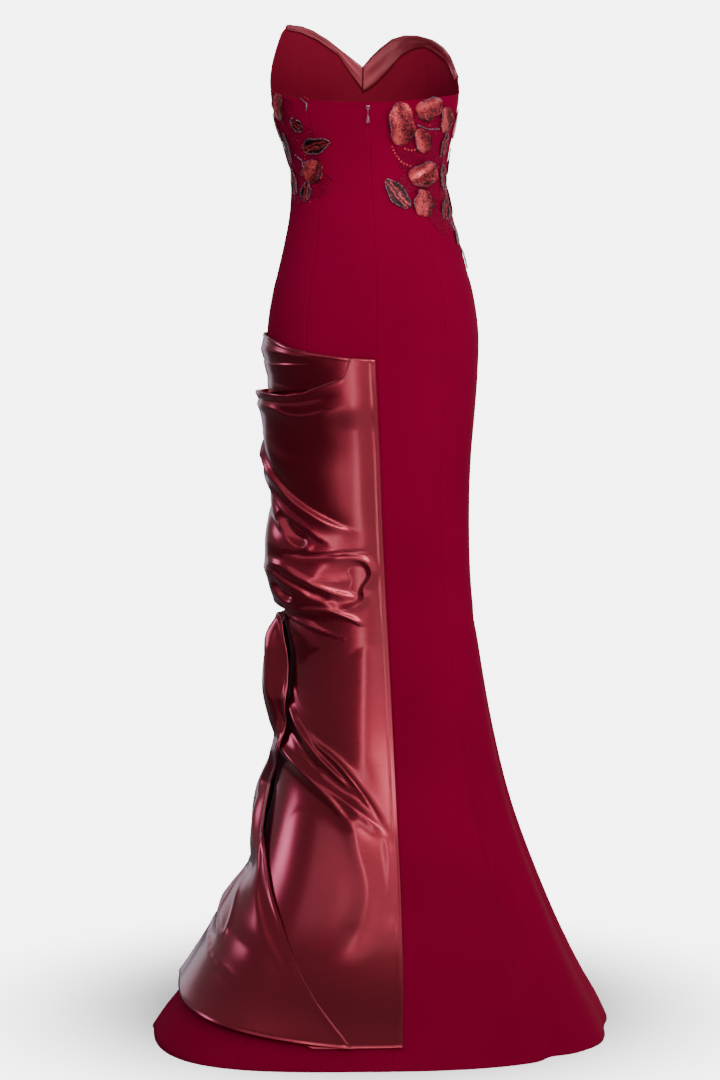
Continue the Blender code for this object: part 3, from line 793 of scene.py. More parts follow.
@dataclass
class Finishes:
    """Every finish of the gown, each made once."""

    # Matte polyester crepe: deep wine red that hardly shines
    crepe: Any = finish(WovenCloth("wine_crepe", "#980236", "#8c0230", 0.95, 0.02, "#a00038"))
    # Smooth woven lining: duller and browner than the crepe
    lining: Any = finish(WovenCloth(
        "wine_lining", "#961a36", "#86142e", 0.75, 0.02, "#a02840", grain_mm=1.2, bump=0.15
    ))
    # Satin organza: red warp, slate weft
    satin: Any = finish(ChangeableSatin(
        "changeable_satin_organza", "#b2143a", "#980e2c", 0.23, 0.90, 0.32, "#9a93b4"
    ))
    # The same satin in the cuffs, folded so that its pinker face shows
    cuff: Any = finish(ChangeableSatin(
        "cuff_satin", "#b8384c", "#8e1e30", 0.34, 0.70, 0.25, "#a07a88"
    ))
    # Coral sequins of the petals
    sequins: Any = finish(SequinCloth(
        "coral_sequin_cloth", "#fc6468", "#b02c3c", "#3c0812", sequin_mm=1.4
    ))
    # Dark sequins of the leaves, coral along their veins
    leaf: Any = finish(SequinCloth(
        "dark_leaf_cloth", "#d84c54", "#7a1c2a", "#1c040c", sequin_mm=1.5, metal=0.5,
        core=0.0018, rim=0.0080, pleat_scale=46.0, pleat_shade_low=0.16, rim_shade=0.34,
    ))
    # Maroon organza of the flat petals
    organza: Any = finish(SheerOrganza("sheer_maroon_organza", "#b40c44", "#8c0834"))
    # Glass seed beads, bugle beads and coral foil sequins
    bead: Any = finish(Polished("slate_glass_bead", "#b28aa2", "#2a0818", 0.5, 0.16, 2.6))
    bugle: Any = finish(Polished("lilac_bugle_bead", "#c8a8c0", "#5a3044", 0.4, 0.2, 3.0))
    foil: Any = finish(Polished("coral_foil_sequin", "#ee4c58", "#b41c30", 0.55, 0.3, 3.0))
    # Zip slider enamelled to match the cloth
    enamel: Any = finish(Polished("rose_enamel", "#97465a", "#7c3044", 0.35, 0.28, 2.5))


def cloth_uv(points: np.ndarray) -> np.ndarray:
    """Lengths across and up a grid of points in metres, as the cut cloth has them."""
    across = np.linalg.norm(np.diff(points, axis=1), axis=2)
    u = np.concatenate([np.zeros((len(points), 1)), np.cumsum(across, axis=1)], axis=1)
    u = u - u[:, [points.shape[1] // 2]]
    up = np.linalg.norm(np.diff(points, axis=0), axis=2).mean(axis=1)
    v = np.concatenate([[0.0], np.cumsum(up)])
    return np.stack([u, np.broadcast_to(v[:, None], u.shape)], axis=-1)


def pad(grid: np.ndarray, middle: np.ndarray, reach: float) -> np.ndarray:
    """A grid with one more row and column on each side, where its rim rounds over.

    Args:
        grid: the face's points, rows by columns.
        middle: points half way through the cloth, in the same rows and columns.
        reach: how far the rim stands beyond the outermost row, in metres.

    Returns:
        The grid with its rim.
    """
    made = np.pad(grid, ((1, 1), (1, 1), (0, 0)), mode="edge")
    rim = np.pad(middle, ((1, 1), (1, 1), (0, 0)), mode="edge")
    for outer, first, second in (
        (rim[0, 1:-1], middle[0], middle[1]),
        (rim[-1, 1:-1], middle[-1], middle[-2]),
        (rim[1:-1, 0], middle[:, 0], middle[:, 1]),
        (rim[1:-1, -1], middle[:, -1], middle[:, -2]),
    ):
        step = first - second
        outer[...] = first + step / np.linalg.norm(step, axis=-1, keepdims=True) * reach
    made[0], made[-1], made[:, 0], made[:, -1] = rim[0], rim[-1], rim[:, 0], rim[:, -1]
    return made


def cloth_wall(name: str, outer: np.ndarray, inner: np.ndarray, skins: list, reach: float) -> Any:
    """A closed cloth wall with rounded rims, its UV map in metres of cut cloth.

    Args:
        name: the piece's name.
        outer: points of the outer face, rows upwards by columns to the wearer's right.
        inner: points of the inner face.
        skins: materials of the outer and the inner face.
        reach: how far the rims stand out, in metres.

    Returns:
        The new object.
    """
    middle = (outer + inner) / 2
    face = pad(outer, middle, reach)
    rows, columns = face.shape[:2]
    outside = np.arange(rows * columns).reshape(rows, columns)
    inside = outside.copy()
    inside[1:-1, 1:-1] = rows * columns + np.arange(inner.shape[0] * inner.shape[1]).reshape(
        inner.shape[:2]
    )
    points = np.concatenate([face.reshape(-1, 3), inner.reshape(-1, 3)])
    uv = cloth_uv(face)
    uv = np.concatenate([uv.reshape(-1, 2), uv[1:-1, 1:-1].reshape(-1, 2)])
    out = np.stack([outside[:-1, :-1], outside[:-1, 1:], outside[1:, 1:], outside[1:, :-1]], -1)
    back = np.stack([inside[:-1, :-1], inside[1:, :-1], inside[1:, 1:], inside[:-1, 1:]], -1)
    faces = np.concatenate([out.reshape(-1, 4), back.reshape(-1, 4)])
    mesh = bpy.data.meshes.new(name)
    mesh.from_pydata(points.tolist(), [], faces.tolist())
    layer = mesh.uv_layers.new(name="cloth")
    layer.data.foreach_set("uv", uv[faces.ravel()].ravel())
    for skin in skins:
        mesh.materials.append(skin)
    count = len(out.reshape(-1, 4))
    index = np.repeat([0, len(skins) - 1], [count, len(faces) - count]).astype(np.int32)
    mesh.polygons.foreach_set("material_index", index)
    mesh.shade_smooth()
    mesh.validate()
    mesh.update()
    obj = bpy.data.objects.new(name, mesh)
    bpy.context.scene.collection.objects.link(obj)
    return obj


def mount_piece(obj: Any, body: str = GOWN_BODY, nodes: tuple = ()) -> Any:
    """Rides a piece on its body, hides the nodes that it stands for and logs its faces."""
    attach(obj, body)
    if nodes:
        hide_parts(*nodes)
    LOG.info("%s: %d faces", obj.name, len(obj.data.polygons))
    return obj


def select_parts(obj: Any, kind: str, wanted: Any) -> None:
    """Selects some of a mesh in edit mode, and nothing else.

    Args:
        obj: the object that is being edited.
        kind: "verts" or "faces".
        wanted: says of each one whether it is selected.
    """
    mesh = bmesh.from_edit_mesh(obj.data)
    for part in (*mesh.faces, *mesh.edges, *mesh.verts):
        part.select_set(False)
    for part in getattr(mesh, kind):
        if wanted(part):
            part.select_set(True)
    mesh.select_flush_mode()
    bmesh.update_edit_mesh(obj.data)


def join_parts(name: str, parts: list) -> Any:
    """Joins objects into one piece, which stays selected."""
    bpy.ops.object.select_all(action="DESELECT")
    for part in parts:
        part.select_set(True)
    bpy.context.view_layer.objects.active = parts[0]
    bpy.ops.object.join()
    parts[0].name = parts[0].data.name = name
    return parts[0]


def bevel_all(width: float, segments: int) -> None:
    """Bevels every edge of the active object, which is left in object mode."""
    bpy.ops.object.mode_set(mode="EDIT")
    bpy.ops.mesh.select_all(action="SELECT")
    bpy.ops.mesh.bevel(offset=width, segments=segments)
    bpy.ops.object.mode_set(mode="OBJECT")


def aim_at(name: str, data: Any, place: tuple, target: tuple) -> Any:
    """Puts a light or a camera at its place, turned towards its target."""
    obj = bpy.data.objects.new(name, data)
    obj.location = place
    obj.rotation_euler = (Vector(target) - Vector(place)).to_track_quat("-Z", "Y").to_euler()
    bpy.context.scene.collection.objects.link(obj)
    return obj


class PanelCut(NamedTuple):
    """A crepe panel between two seams, at its two angles."""

    name: str
    start: float
    end: float


@dataclass
class CrepePanels:
    """The seven lined crepe panels from the hem to the top edge."""

    row_step: float = 0.0065
    angle_step: float = 1.45
    seam_places: tuple = (0.00004, 0.0007, 0.0018, 0.0040)
    seam_depths: tuple = (0.0005, 0.00016, 0.00004, 0.0)
    bodice_height: float = 1.30
    facing_line: float = 0.0035
    skirt_top: float = 1.200
    bodice_rows: int = 26
    last_shares: tuple = (0.965, 0.985, 1.0)
    facing_sink: float = 0.0004
    facing_half: float = 0.0008
    least_columns: int = 6
    rim: float = 0.0006
    cuts: tuple = (
        PanelCut("back_left", -39.0, 0.0),
        PanelCut("back_right", 0.0, 39.0),
        PanelCut("side_back_left", -90.0, -39.0),
        PanelCut("side_back_right", 39.0, 90.0),
        PanelCut("side_front_left", -140.0, -90.0),
        PanelCut("side_front_right", 90.0, 140.0),
        PanelCut("front_centre", 140.0, 220.0),
    )
    pieces: dict = field(default_factory=dict)

    def grid(self, cut: PanelCut) -> tuple[np.ndarray, np.ndarray, np.ndarray]:
        """Heights, angles and how deep each point sinks into a seam."""
        count = max(self.least_columns, round((cut.end - cut.start) / self.angle_step))
        even = np.linspace(0.0, 1.0, count + 1)[1:-1]
        top = FORM.top(self.columns(cut, even, np.array([self.bodice_height]))[0])
        skirt = np.arange(0.0, self.skirt_top, self.row_step)[:, None] + 0.0 * top
        share = np.linspace(0.0, 1.0, self.bodice_rows + 1)[:-1]
        share = np.concatenate([share, self.last_shares])[:, None]
        bodice = skirt[-1] + self.row_step + (top - skirt[-1] - self.row_step) * share
        height = np.concatenate([skirt, bodice])
        angle = self.columns(cut, even, height[:, 0])
        sink = np.zeros(height.shape)
        for i, depth in enumerate(self.seam_depths):
            sink[:, i] = sink[:, -1 - i] = depth
        below = top - height
        line = np.exp(-(((below - self.facing_line) / self.facing_half) ** 2))
        sink = sink + self.facing_sink * line
        return height, angle, sink

    def columns(self, cut: PanelCut, even: np.ndarray, heights: np.ndarray) -> np.ndarray:
        """Angles of a panel's columns at each height, close together beside its seams."""
        turn = np.degrees(np.array(self.seam_places)[None, :] / FORM.radius(heights)[:, None])
        left, right = cut.start + turn, cut.end - turn[:, ::-1]
        span = right[:, :1] - left[:, -1:]
        return np.concatenate([left, left[:, -1:] + span * even[None, :], right], axis=1)

    def build(self, finishes: Finishes) -> None:
        """Makes the panels.

        Args:
            finishes: the gown's materials.
        """
        for cut in self.cuts:
            height, angle, sink = self.grid(cut)
            outer = FORM.off(height, angle, -sink)
            inner = FORM.off(height, angle, -CLOTH)
            obj = cloth_wall(
                "crepe_" + cut.name, outer, inner, [finishes.crepe, finishes.lining], self.rim
            )
            mount_piece(obj, nodes=(cut.name,))
            self.pieces[cut.name] = obj

    def declare(self) -> None:
        """Works out each panel's grid and the points of its face again, and keeps nothing."""
        for cut in self.cuts:
            height, angle, _ = self.grid(cut)
            FORM.off(height, angle, 0.0)


class CuffRun(NamedTuple):
    """A stretch of satin folded over the neckline."""

    name: str
    start: float
    end: float
    folds: float


@dataclass
class NecklineCuffs:
    """Two satin cuffs that wrap the sweetheart neckline, down the outside and the inside."""

    angle_step: float = 0.8
    end_gap: float = 0.12
    rows: int = 9
    least_drop: float = 0.003
    wrap_turns: tuple = (50.0, 90.0, 130.0)
    wrap_rise: float = 0.3
    rim: float = 0.0003
    runs: tuple = (
        CuffRun("cuff_left", -180.0, -126.0, 0.0003),
        CuffRun("cuff_right", 104.0, 180.0, 0.0005),
    )

    def section(self, run: CuffRun, angle: np.ndarray, off: float, rise: float) -> np.ndarray:
        """Rows of one skin of a cuff, from its outer edge over the top to its inner edge."""
        top = FORM.top(angle)
        low = np.minimum(straight_column(CUFF_EDGE, "height", angle), top - self.least_drop)
        down = np.linspace(0.0, 1.0, self.rows)
        rows = []
        swell = run.folds * np.sin(np.radians(angle * 9.0))
        for share in down:
            ripple = run.folds * math.sin(share * 9.0) + swell * math.sin(share * math.pi)
            rows.append(FORM.off(low + (top + rise - low) * share, angle, off + ripple))
        for turn in self.wrap_turns:
            bend = math.radians(turn)
            half = off + CLOTH / 2
            out = -CLOTH / 2 + half * math.cos(bend)
            over = top + rise + self.wrap_rise * half * math.sin(bend)
            rows.append(FORM.off(over, angle, out))
        for share in down[::-1]:
            ripple = run.folds * math.sin(share * 11.0) + swell * math.sin(share * math.pi)
            height = low + (top + rise - low) * share
            rows.append(FORM.off(height, angle, -CLOTH - off - np.abs(ripple)))
        return np.array(rows)

    def build(self, finishes: Finishes) -> list:
        """Args:
            finishes: the gown's materials.

        Returns:
            The two cuffs.
        """
        made = []
        for run in self.runs:
            count = round((run.end - run.start) / self.angle_step)
            angle = np.linspace(run.start + self.end_gap, run.end - self.end_gap, count)
            skin = self.section(run, angle, CUFF_LIE + CUFF, CUFF_LIE + CUFF * 0.7)
            under = self.section(run, angle, CUFF_LIE, CUFF_LIE * 0.5)
            obj = cloth_wall("satin_" + run.name, skin, under, [finishes.cuff], self.rim)
            mount_piece(obj, nodes=(run.name,))
            made.append(obj)
        return made


TIER_PUFF = table_of(Puff, (0.880, 0.002), (0.970, 0.001))
TIER_FOLDS = table_of(
    Fold,
    (((-139, 0.952), (-100, 0.951), (-67, 0.948), (-55, 0.945), (-41, 0.940), (-22, 0.934)),
     0.0042, 0.010, 0.0042, 0.013),
    (((-132, 0.916), (-67, 0.908), (-50, 0.905), (-38, 0.909), (-22, 0.917)),
     -0.0022, 0.007, -0.0022, 0.008),
    (((-96, 0.962), (-62, 0.954), (-44, 0.944), (-30, 0.940)), -0.0008, 0.003, 0.0006, 0.005),
    (((-110, 0.936), (-70, 0.930), (-48, 0.930), (-30, 0.930)), -0.0014, 0.004, 0.0008, 0.007),
)
TIER_EDGE = table_of(
    Edge,
    (-139, 0.974), (-90, 0.972), (-70, 0.966), (-59, 0.960), (-47, 0.951), (-35, 0.945),
    (-24, 0.941), (-14, 0.9375), (-1.2, 0.9355),
)
# The main piece folds down over the tier, and reaches the top edge near the centre back
RIM_EDGE = table_of(
    Edge,
    (-139, 0.893), (-100, 0.894), (-77, 0.893), (-65, 0.891), (-51, 0.888), (-40, 0.891),
    (-33, 0.898), (-25, 0.905), (-19, 0.911), (-16.8, 0.917), (-15.4, 0.928), (-14.2, 0.9385),
    (-1.2, 0.9365),
)
MAIN_PUFF = table_of(
    Puff,
    (0.020, 0.000), (0.250, 0.000), (0.400, 0.003), (0.540, 0.006), (0.575, 0.018),
    (0.600, 0.031), (0.640, 0.036), (0.680, 0.036), (0.715, 0.029), (0.745, 0.023),
    (0.785, 0.027), (0.830, 0.022), (0.865, 0.016), (0.893, 0.016), (0.930, 0.006),
)
LEAF_PUFF = table_of(
    Puff,
    (0.020, 0.006), (0.070, 0.010), (0.120, 0.011), (0.180, 0.008), (0.215, 0.001),
    (0.245, 0.010), (0.290, 0.018), (0.330, 0.016), (0.360, 0.009), (0.385, 0.004),
    (0.415, 0.014), (0.460, 0.030), (0.500, 0.033), (0.540, 0.027), (0.575, 0.012),
)
PUFF_BACK = (-14.0, -88.0)
PUFF_FRONT = (-136.0, -102.0)
# The solid's broad folds
MAIN_CREASES = table_of(
    Crease,
    (-112, -46, 0.758, 0.712, 0.668, -0.0050, 0.010, 0.012),
    (-100, -16, 0.645, 0.630, 0.625, 0.0050, 0.014, 0.014),
    (-140, -4, 0.580, 0.575, 0.544, -0.0080, 0.007, 0.012),
    (-88, -2, 0.405, 0.352, 0.272, 0.0060, 0.011, 0.012),
    (-76, -16, 0.462, 0.392, 0.336, 0.0030, 0.009, 0.009),
    (-136, -84, 0.820, 0.812, 0.800, 0.0022, 0.005, 0.009),
    (-138, -88, 0.720, 0.706, 0.700, -0.0026, 0.005, 0.012),
    (-138, -92, 0.660, 0.652, 0.640, 0.0022, 0.005, 0.009),
)
# Its own folds, where the photograph shows them and on as far as the front
MAIN_FOLDS = table_of(
    Fold,
    (((-132, 0.882), (-90, 0.882), (-66, 0.881), (-50, 0.878), (-37, 0.881), (-18, 0.893)),
     -0.0030, 0.006, -0.0030, 0.006),
    (((-104, 0.880), (-63, 0.872), (-55, 0.861), (-45, 0.857), (-36, 0.860), (-16, 0.872)),
     0.0026, 0.004, 0.0026, 0.008),
    (((-120, 0.846), (-100, 0.822), (-81, 0.796), (-66, 0.761), (-57, 0.743), (-45, 0.725),
      (-33, 0.709), (-23, 0.699), (-14, 0.694)), -0.0040, 0.016, 0.0045, 0.011),
    (((-114, 0.796), (-92, 0.770), (-79, 0.749), (-67, 0.725), (-58, 0.712), (-48, 0.699),
      (-42, 0.686), (-32, 0.676)), 0.0035, 0.009, -0.0040, 0.009),
    (((-70, 0.724), (-62, 0.700), (-55, 0.687), (-46, 0.680)), -0.010, 0.005, -0.010, 0.006),
    (((-72, 0.716), (-65, 0.693), (-58, 0.678), (-50, 0.671), (-42, 0.676)),
     0.0030, 0.003, 0.0030, 0.005),
    (((-66, 0.668), (-52, 0.664), (-39, 0.664), (-25, 0.667), (-12, 0.669), (-3, 0.670)),
     0.0014, 0.006, -0.0050, 0.004),
    (((-44, 0.656), (-25, 0.659), (-15, 0.657), (-10, 0.650), (-8, 0.637), (-11, 0.624),
      (-15, 0.614), (-13, 0.600), (-20, 0.588), (-34, 0.582)), 0.0036, 0.005, 0.0036, 0.005),
    (((-84, 0.654), (-69, 0.649), (-62, 0.646), (-50, 0.627), (-41, 0.616), (-29, 0.606),
      (-16, 0.598)), 0.0036, 0.004, 0.0036, 0.006),
    (((-74, 0.640), (-66, 0.633), (-56, 0.620), (-46, 0.607), (-34, 0.600)),
     -0.0036, 0.004, -0.0036, 0.004),
    (((-74, 0.646), (-68, 0.629), (-60, 0.617), (-52, 0.608), (-48, 0.597), (-30, 0.589)),
     0.0026, 0.003, 0.0026, 0.004),
    (((-76, 0.622), (-71, 0.606), (-66, 0.600), (-60, 0.600)), -0.008, 0.005, -0.008, 0.005),
    (((-80, 0.622), (-75, 0.602), (-68, 0.590), (-60, 0.590), (-57, 0.600)),
     0.0026, 0.003, 0.0026, 0.004),
    (((-128, 0.594), (-95, 0.590), (-78, 0.584), (-64, 0.578), (-48, 0.582), (-36, 0.583),
      (-27, 0.576), (-19, 0.567), (-13, 0.552), (-6, 0.534)), 0.0040, 0.005, 0.0050, 0.007),
    (((-46, 0.567), (-38, 0.562), (-30, 0.556), (-20, 0.548)), 0.0024, 0.003, 0.0024, 0.003),
    (((-92, 0.574), (-73, 0.567), (-55, 0.557), (-40, 0.548), (-27, 0.541), (-14, 0.534)),
     0.0026, 0.008, -0.0040, 0.016),
    (((-16, 0.895), (-14, 0.860), (-14, 0.800), (-14, 0.740), (-15, 0.690)),
     0.0006, 0.014, 0.0006, 0.016, 2.0),
    (((-9, 0.552), (-14, 0.530), (-15, 0.485), (-17, 0.429), (-17, 0.376), (-19, 0.338)),
     0.0014, 0.020, 0.0014, 0.020, 2.0),
    (((-48, 0.530), (-44, 0.480), (-42, 0.430)), -0.0020, 0.014, -0.0020, 0.014, 2.0),
    (((-80, 0.500), (-61, 0.437), (-45, 0.395), (-30, 0.374), (-19, 0.340), (-13, 0.317),
      (-3, 0.272)), 0.0046, 0.004, 0.0046, 0.006),
    (((-78, 0.486), (-70, 0.464), (-54, 0.419), (-42, 0.389), (-30, 0.362), (-18, 0.332)),
     -0.0034, 0.003, -0.0034, 0.003),
    (((-80, 0.470), (-70, 0.446), (-54, 0.410), (-42, 0.378), (-30, 0.354), (-17, 0.322)),
     0.0034, 0.003, 0.0034, 0.004),
    (((-90, 0.396), (-70, 0.382), (-55, 0.366), (-38, 0.335), (-28, 0.311), (-18, 0.276)),
     0.0044, 0.004, 0.0050, 0.009),
    (((-80, 0.420), (-62, 0.404), (-48, 0.374), (-36, 0.348)), -0.0034, 0.004, -0.0034, 0.004),
    (((-19, 0.342), (-21, 0.304), (-18, 0.259), (-11, 0.208), (-12, 0.170), (-18, 0.110)),
     0.0032, 0.011, 0.0032, 0.011, 2.0),
    (((-5, 0.290), (-3, 0.240), (-4, 0.150)), 0.0016, 0.007, 0.0016, 0.006, 2.0),
    (((-46, 0.310), (-44, 0.240), (-34, 0.160)), -0.0026, 0.014, -0.0026, 0.014, 2.0),
    (((-32, 0.078), (-15, 0.074), (-6, 0.067), (4, 0.062)), -0.0026, 0.012, -0.0026, 0.010, 2.0),
)
MAIN_SWELLS = table_of(
    Swell,
    (-27, 0.626, 15, 0.021, 0.0, -0.0035),
    (-26, 0.560, 12, 0.010, -0.0006, -0.0045),
    (-58, 0.835, 26, 0.036, -0.0008, -0.0020),
)
LEAF_CREASES = table_of(
    Crease,
    (-128, -58, 0.430, 0.402, 0.385, -0.0040, 0.012, 0.012),
    (-130, -70, 0.240, 0.222, 0.205, -0.0040, 0.010, 0.012),
    (-125, -40, 0.190, 0.150, 0.110, 0.0030, 0.014, 0.014),
)
LEAF_FOLDS = table_of(
    Fold,
    (((-90, 0.566), (-84, 0.530), (-82, 0.483), (-76, 0.440), (-70, 0.400), (-74, 0.360)),
     0.0026, 0.003, 0.0030, 0.006),
    (((-96, 0.560), (-91, 0.500), (-85, 0.440), (-76, 0.398), (-78, 0.360)),
     -0.0030, 0.003, -0.0030, 0.003),
    (((-104, 0.560), (-98, 0.500), (-92, 0.440), (-82, 0.398), (-84, 0.340)),
     0.0030, 0.004, 0.0030, 0.007),
    (((-120, 0.550), (-114, 0.490), (-104, 0.430), (-92, 0.396), (-94, 0.340)),
     -0.0030, 0.006, -0.0030, 0.006),
    (((-80, 0.350), (-74, 0.275), (-64, 0.208), (-51, 0.153), (-40, 0.114), (-26, 0.066)),
     0.0030, 0.004, 0.0032, 0.012),
    (((-90, 0.240), (-84, 0.176), (-84, 0.146), (-74, 0.122), (-65, 0.126), (-70, 0.160),
      (-82, 0.208)), 0.0020, 0.003, 0.0020, 0.003),
    (((-98, 0.236), (-94, 0.180), (-92, 0.130)), 0.0024, 0.003, 0.0024, 0.006),
    (((-88, 0.350), (-92, 0.270), (-100, 0.150)), -0.0026, 0.010, -0.0026, 0.010, 2.0),
    (((-100, 0.350), (-106, 0.250), (-116, 0.140)), 0.0034, 0.012, 0.0034, 0.014, 2.0),
    (((-118, 0.340), (-124, 0.240), (-132, 0.130)), -0.0030, 0.012, -0.0030, 0.012, 2.0),
    (((-112, 0.150), (-84, 0.118), (-60, 0.090), (-44, 0.074)), -0.0016, 0.005, 0.0016, 0.010),
)
TIER_LEVELS = table_of(
    Level,
    (-139.0, 0.880, -1.2, 0.900), (-139.0, 0.972, -1.2, 0.936),
)
MAIN_LEVELS = table_of(
    Level,
    (-20.0, 0.022, 2.2, 0.023), (-46.0, 0.066, 1.6, 0.062), (-68.0, 0.160, 0.6, 0.160),
    (-80.0, 0.250, 0.0, 0.250), (-84.0, 0.450, -0.6, 0.450), (-90.0, 0.556, -0.8, 0.556),
    (-138.0, 0.592, -0.9, 0.585), (-139.0, 0.700, -0.9, 0.700), (-139.0, 0.893, -1.2, 0.924),
)
LEAF_LEVELS = table_of(
    Level,
    (-139.0, 0.075, -10.0, 0.020), (-139.0, 0.086, -13.3, 0.034), (-139.0, 0.110, -22.0, 0.066),
    (-139.0, 0.140, -32.7, 0.111), (-139.0, 0.180, -43.6, 0.161), (-139.0, 0.225, -57.0, 0.211),
    (-139.0, 0.270, -72.0, 0.262), (-139.0, 0.330, -82.0, 0.325), (-139.0, 0.385, -68.0, 0.380),
    (-139.0, 0.450, -68.0, 0.450), (-139.0, 0.520, -76.0, 0.520), (-139.0, 0.574, -86.0, 0.570),
)


@dataclass
class DrapePiece:
    """One stretch of the satin drape."""

    name: str
    levels: list
    puffs: list
    creases: list
    columns: int
    row_step: float
    low_step: float
    folds: list = field(default_factory=list)
    swells: list = field(default_factory=list)
    top_edge: list = field(default_factory=list)
    shaped_from: float = 0.0
    coarse_under: float = 0.24
    edge: tuple = (0.0, 0.003, 0.007, 0.012, 0.018)
    inset: float = 0.026

    def grid(self) -> tuple[np.ndarray, np.ndarray]:
        """Heights and angles, read between the levels about one row step apart."""
        at = [0.0]
        for i, (low, high) in enumerate(zip(self.levels, self.levels[1:])):
            span = max(
                abs(high.right_height - low.right_height), abs(high.left_height - low.left_height)
            )
            coarse = high.right_height <= self.coarse_under
            count = max(1, round(span / (self.low_step if coarse else self.row_step)))
            at.extend(i + (step + 1) / count for step in range(count))
        read = {
            name: np.interp(at, range(len(self.levels)), [getattr(r, name) for r in self.levels])
            for name in Level._fields
        }
        edge = np.array(self.edge)
        even = np.linspace(self.inset, 1 - self.inset, self.columns)
        across = np.concatenate([edge, even, 1 - edge[::-1]])[None, :]
        angle = read["left_angle"][:, None] * (1 - across) + read["right_angle"][:, None] * across
        height = (
            read["left_height"][:, None] * (1 - across) + read["right_height"][:, None] * across
        )
        if self.top_edge:
            top = straight_column(self.top_edge, "height", angle)
            share = (height - self.shaped_from) / (height[-1:] - self.shaped_from)
            shaped = self.shaped_from + (top - self.shaped_from) * share
            height = np.where(share > 0, shaped, height)
        return height, angle

    def stand(self, height: np.ndarray, angle: np.ndarray, roll: Any = 1.0) -> np.ndarray:
        """How far the satin stands off its seat.

        Args:
            height: heights above the hem.
            angle: angles round the body.
            roll: share of the side's stand-off that is kept, where a free edge rolls down.

        Returns:
            Metres over the seat at each point.
        """
        back = ease((angle - PUFF_BACK[0]) / (PUFF_BACK[1] - PUFF_BACK[0]))
        front = ease((angle - PUFF_FRONT[0]) / (PUFF_FRONT[1] - PUFF_FRONT[0]))
        side = smooth_column(self.puffs, "off", height) * back * front * roll
        folds = crease_relief(self.creases, height, angle, FOLD_POWER)
        folds = folds + fold_relief(self.folds, height, angle)
        folds = folds + swell_relief(self.swells, height, angle)
        return np.maximum(side + folds, 0.0)


@dataclass
class SideDrape:
    """The changeable satin over the wearer's left hip and leg, gathered into its side."""

    hem_rise: float = 0.0007
    hem_in: float = 0.0028
    hem_half: float = 0.0016
    lap_start: float = 0.836
    seat_passes: int = 14
    rim: float = 0.0008
    lap_span: float = 0.042
    tier: DrapePiece = field(
        default_factory=lambda: DrapePiece(
            "drape_tier", TIER_LEVELS, TIER_PUFF, [], 170, 0.0016, 0.0016,
            folds=TIER_FOLDS, top_edge=TIER_EDGE, shaped_from=0.905,
        )
    )
    main: DrapePiece = field(
        default_factory=lambda: DrapePiece(
            "drape_main", MAIN_LEVELS, MAIN_PUFF, MAIN_CREASES, 140, 0.0026, 0.0045,
            folds=MAIN_FOLDS, swells=MAIN_SWELLS, top_edge=RIM_EDGE, shaped_from=0.850,
        )
    )
    leaf: DrapePiece = field(
        default_factory=lambda: DrapePiece(
            "drape_leaf", LEAF_LEVELS, LEAF_PUFF, LEAF_CREASES, 130, 0.0036, 0.0045,
            folds=LEAF_FOLDS,
        )
    )

    def main_stand(self, height: np.ndarray, angle: np.ndarray) -> np.ndarray:
        """How far the main piece stands off where it lies under the leaf."""
        start, end = MAIN_REACH
        low = ease((LEAF_FREE_HEIGHT - height) / LEAF_FREE_SPAN)
        under = np.maximum(low, ease((angle - start) / (end - start)))
        return self.main.stand(height, angle) * under

    def off(self, piece: DrapePiece, height: np.ndarray, angle: np.ndarray) -> np.ndarray:
        """Distance of a piece's inner face from the panels, over what lies under it."""
        if piece is self.tier:
            return DRAPE_LIE + piece.stand(height, angle)
        if piece is self.main:
            over = MAIN_OVER_TIER * ease((height - self.lap_start) / self.lap_span)
            return DRAPE_LIE + over + piece.stand(height, angle)
        steps = np.linspace(-LEAF_SPAN, LEAF_SPAN, 5)
        under = np.maximum.reduce([self.main_stand(height + step, angle) for step in steps])
        under = np.maximum(even_out(under, self.seat_passes), self.main_stand(height, angle))
        rolled = ease((angle[:, -1:] - angle) / LEAF_ROLL)
        roll = LEAF_ROLL_LEAST + (1 - LEAF_ROLL_LEAST) * rolled
        return LEAF_LIE + under + piece.stand(height, angle, roll)

    def hem(self, piece: DrapePiece, height: np.ndarray, angle: np.ndarray) -> np.ndarray:
        """The turned edge of a piece: its right edge, and the tier's top edge too."""
        inward = np.radians(angle[:, -1:] - angle) * FORM.radius(height)
        bead = np.exp(-(((inward - self.hem_in) / self.hem_half) ** 2))
        if piece.top_edge:
            down = height[-1:] - height
            bead = np.maximum(bead, np.exp(-(((down - self.hem_in) / self.hem_half) ** 2)))
        return self.hem_rise * bead

    def build(self, finishes: Finishes) -> list:
        """Args:
            finishes: the gown's materials.

        Returns:
            The pieces, from the top down.
        """
        made = []
        for piece in (self.tier, self.main, self.leaf):
            height, angle = piece.grid()
            off = self.off(piece, height, angle) + self.hem(piece, height, angle)
            outer = FORM.off(height, angle, off + SATIN)
            inner = FORM.off(height, angle, off)
            obj = cloth_wall("satin_" + piece.name, outer, inner, [finishes.satin], self.rim)
            mount_piece(obj, nodes=(piece.name,))
            made.append(obj)
        return made


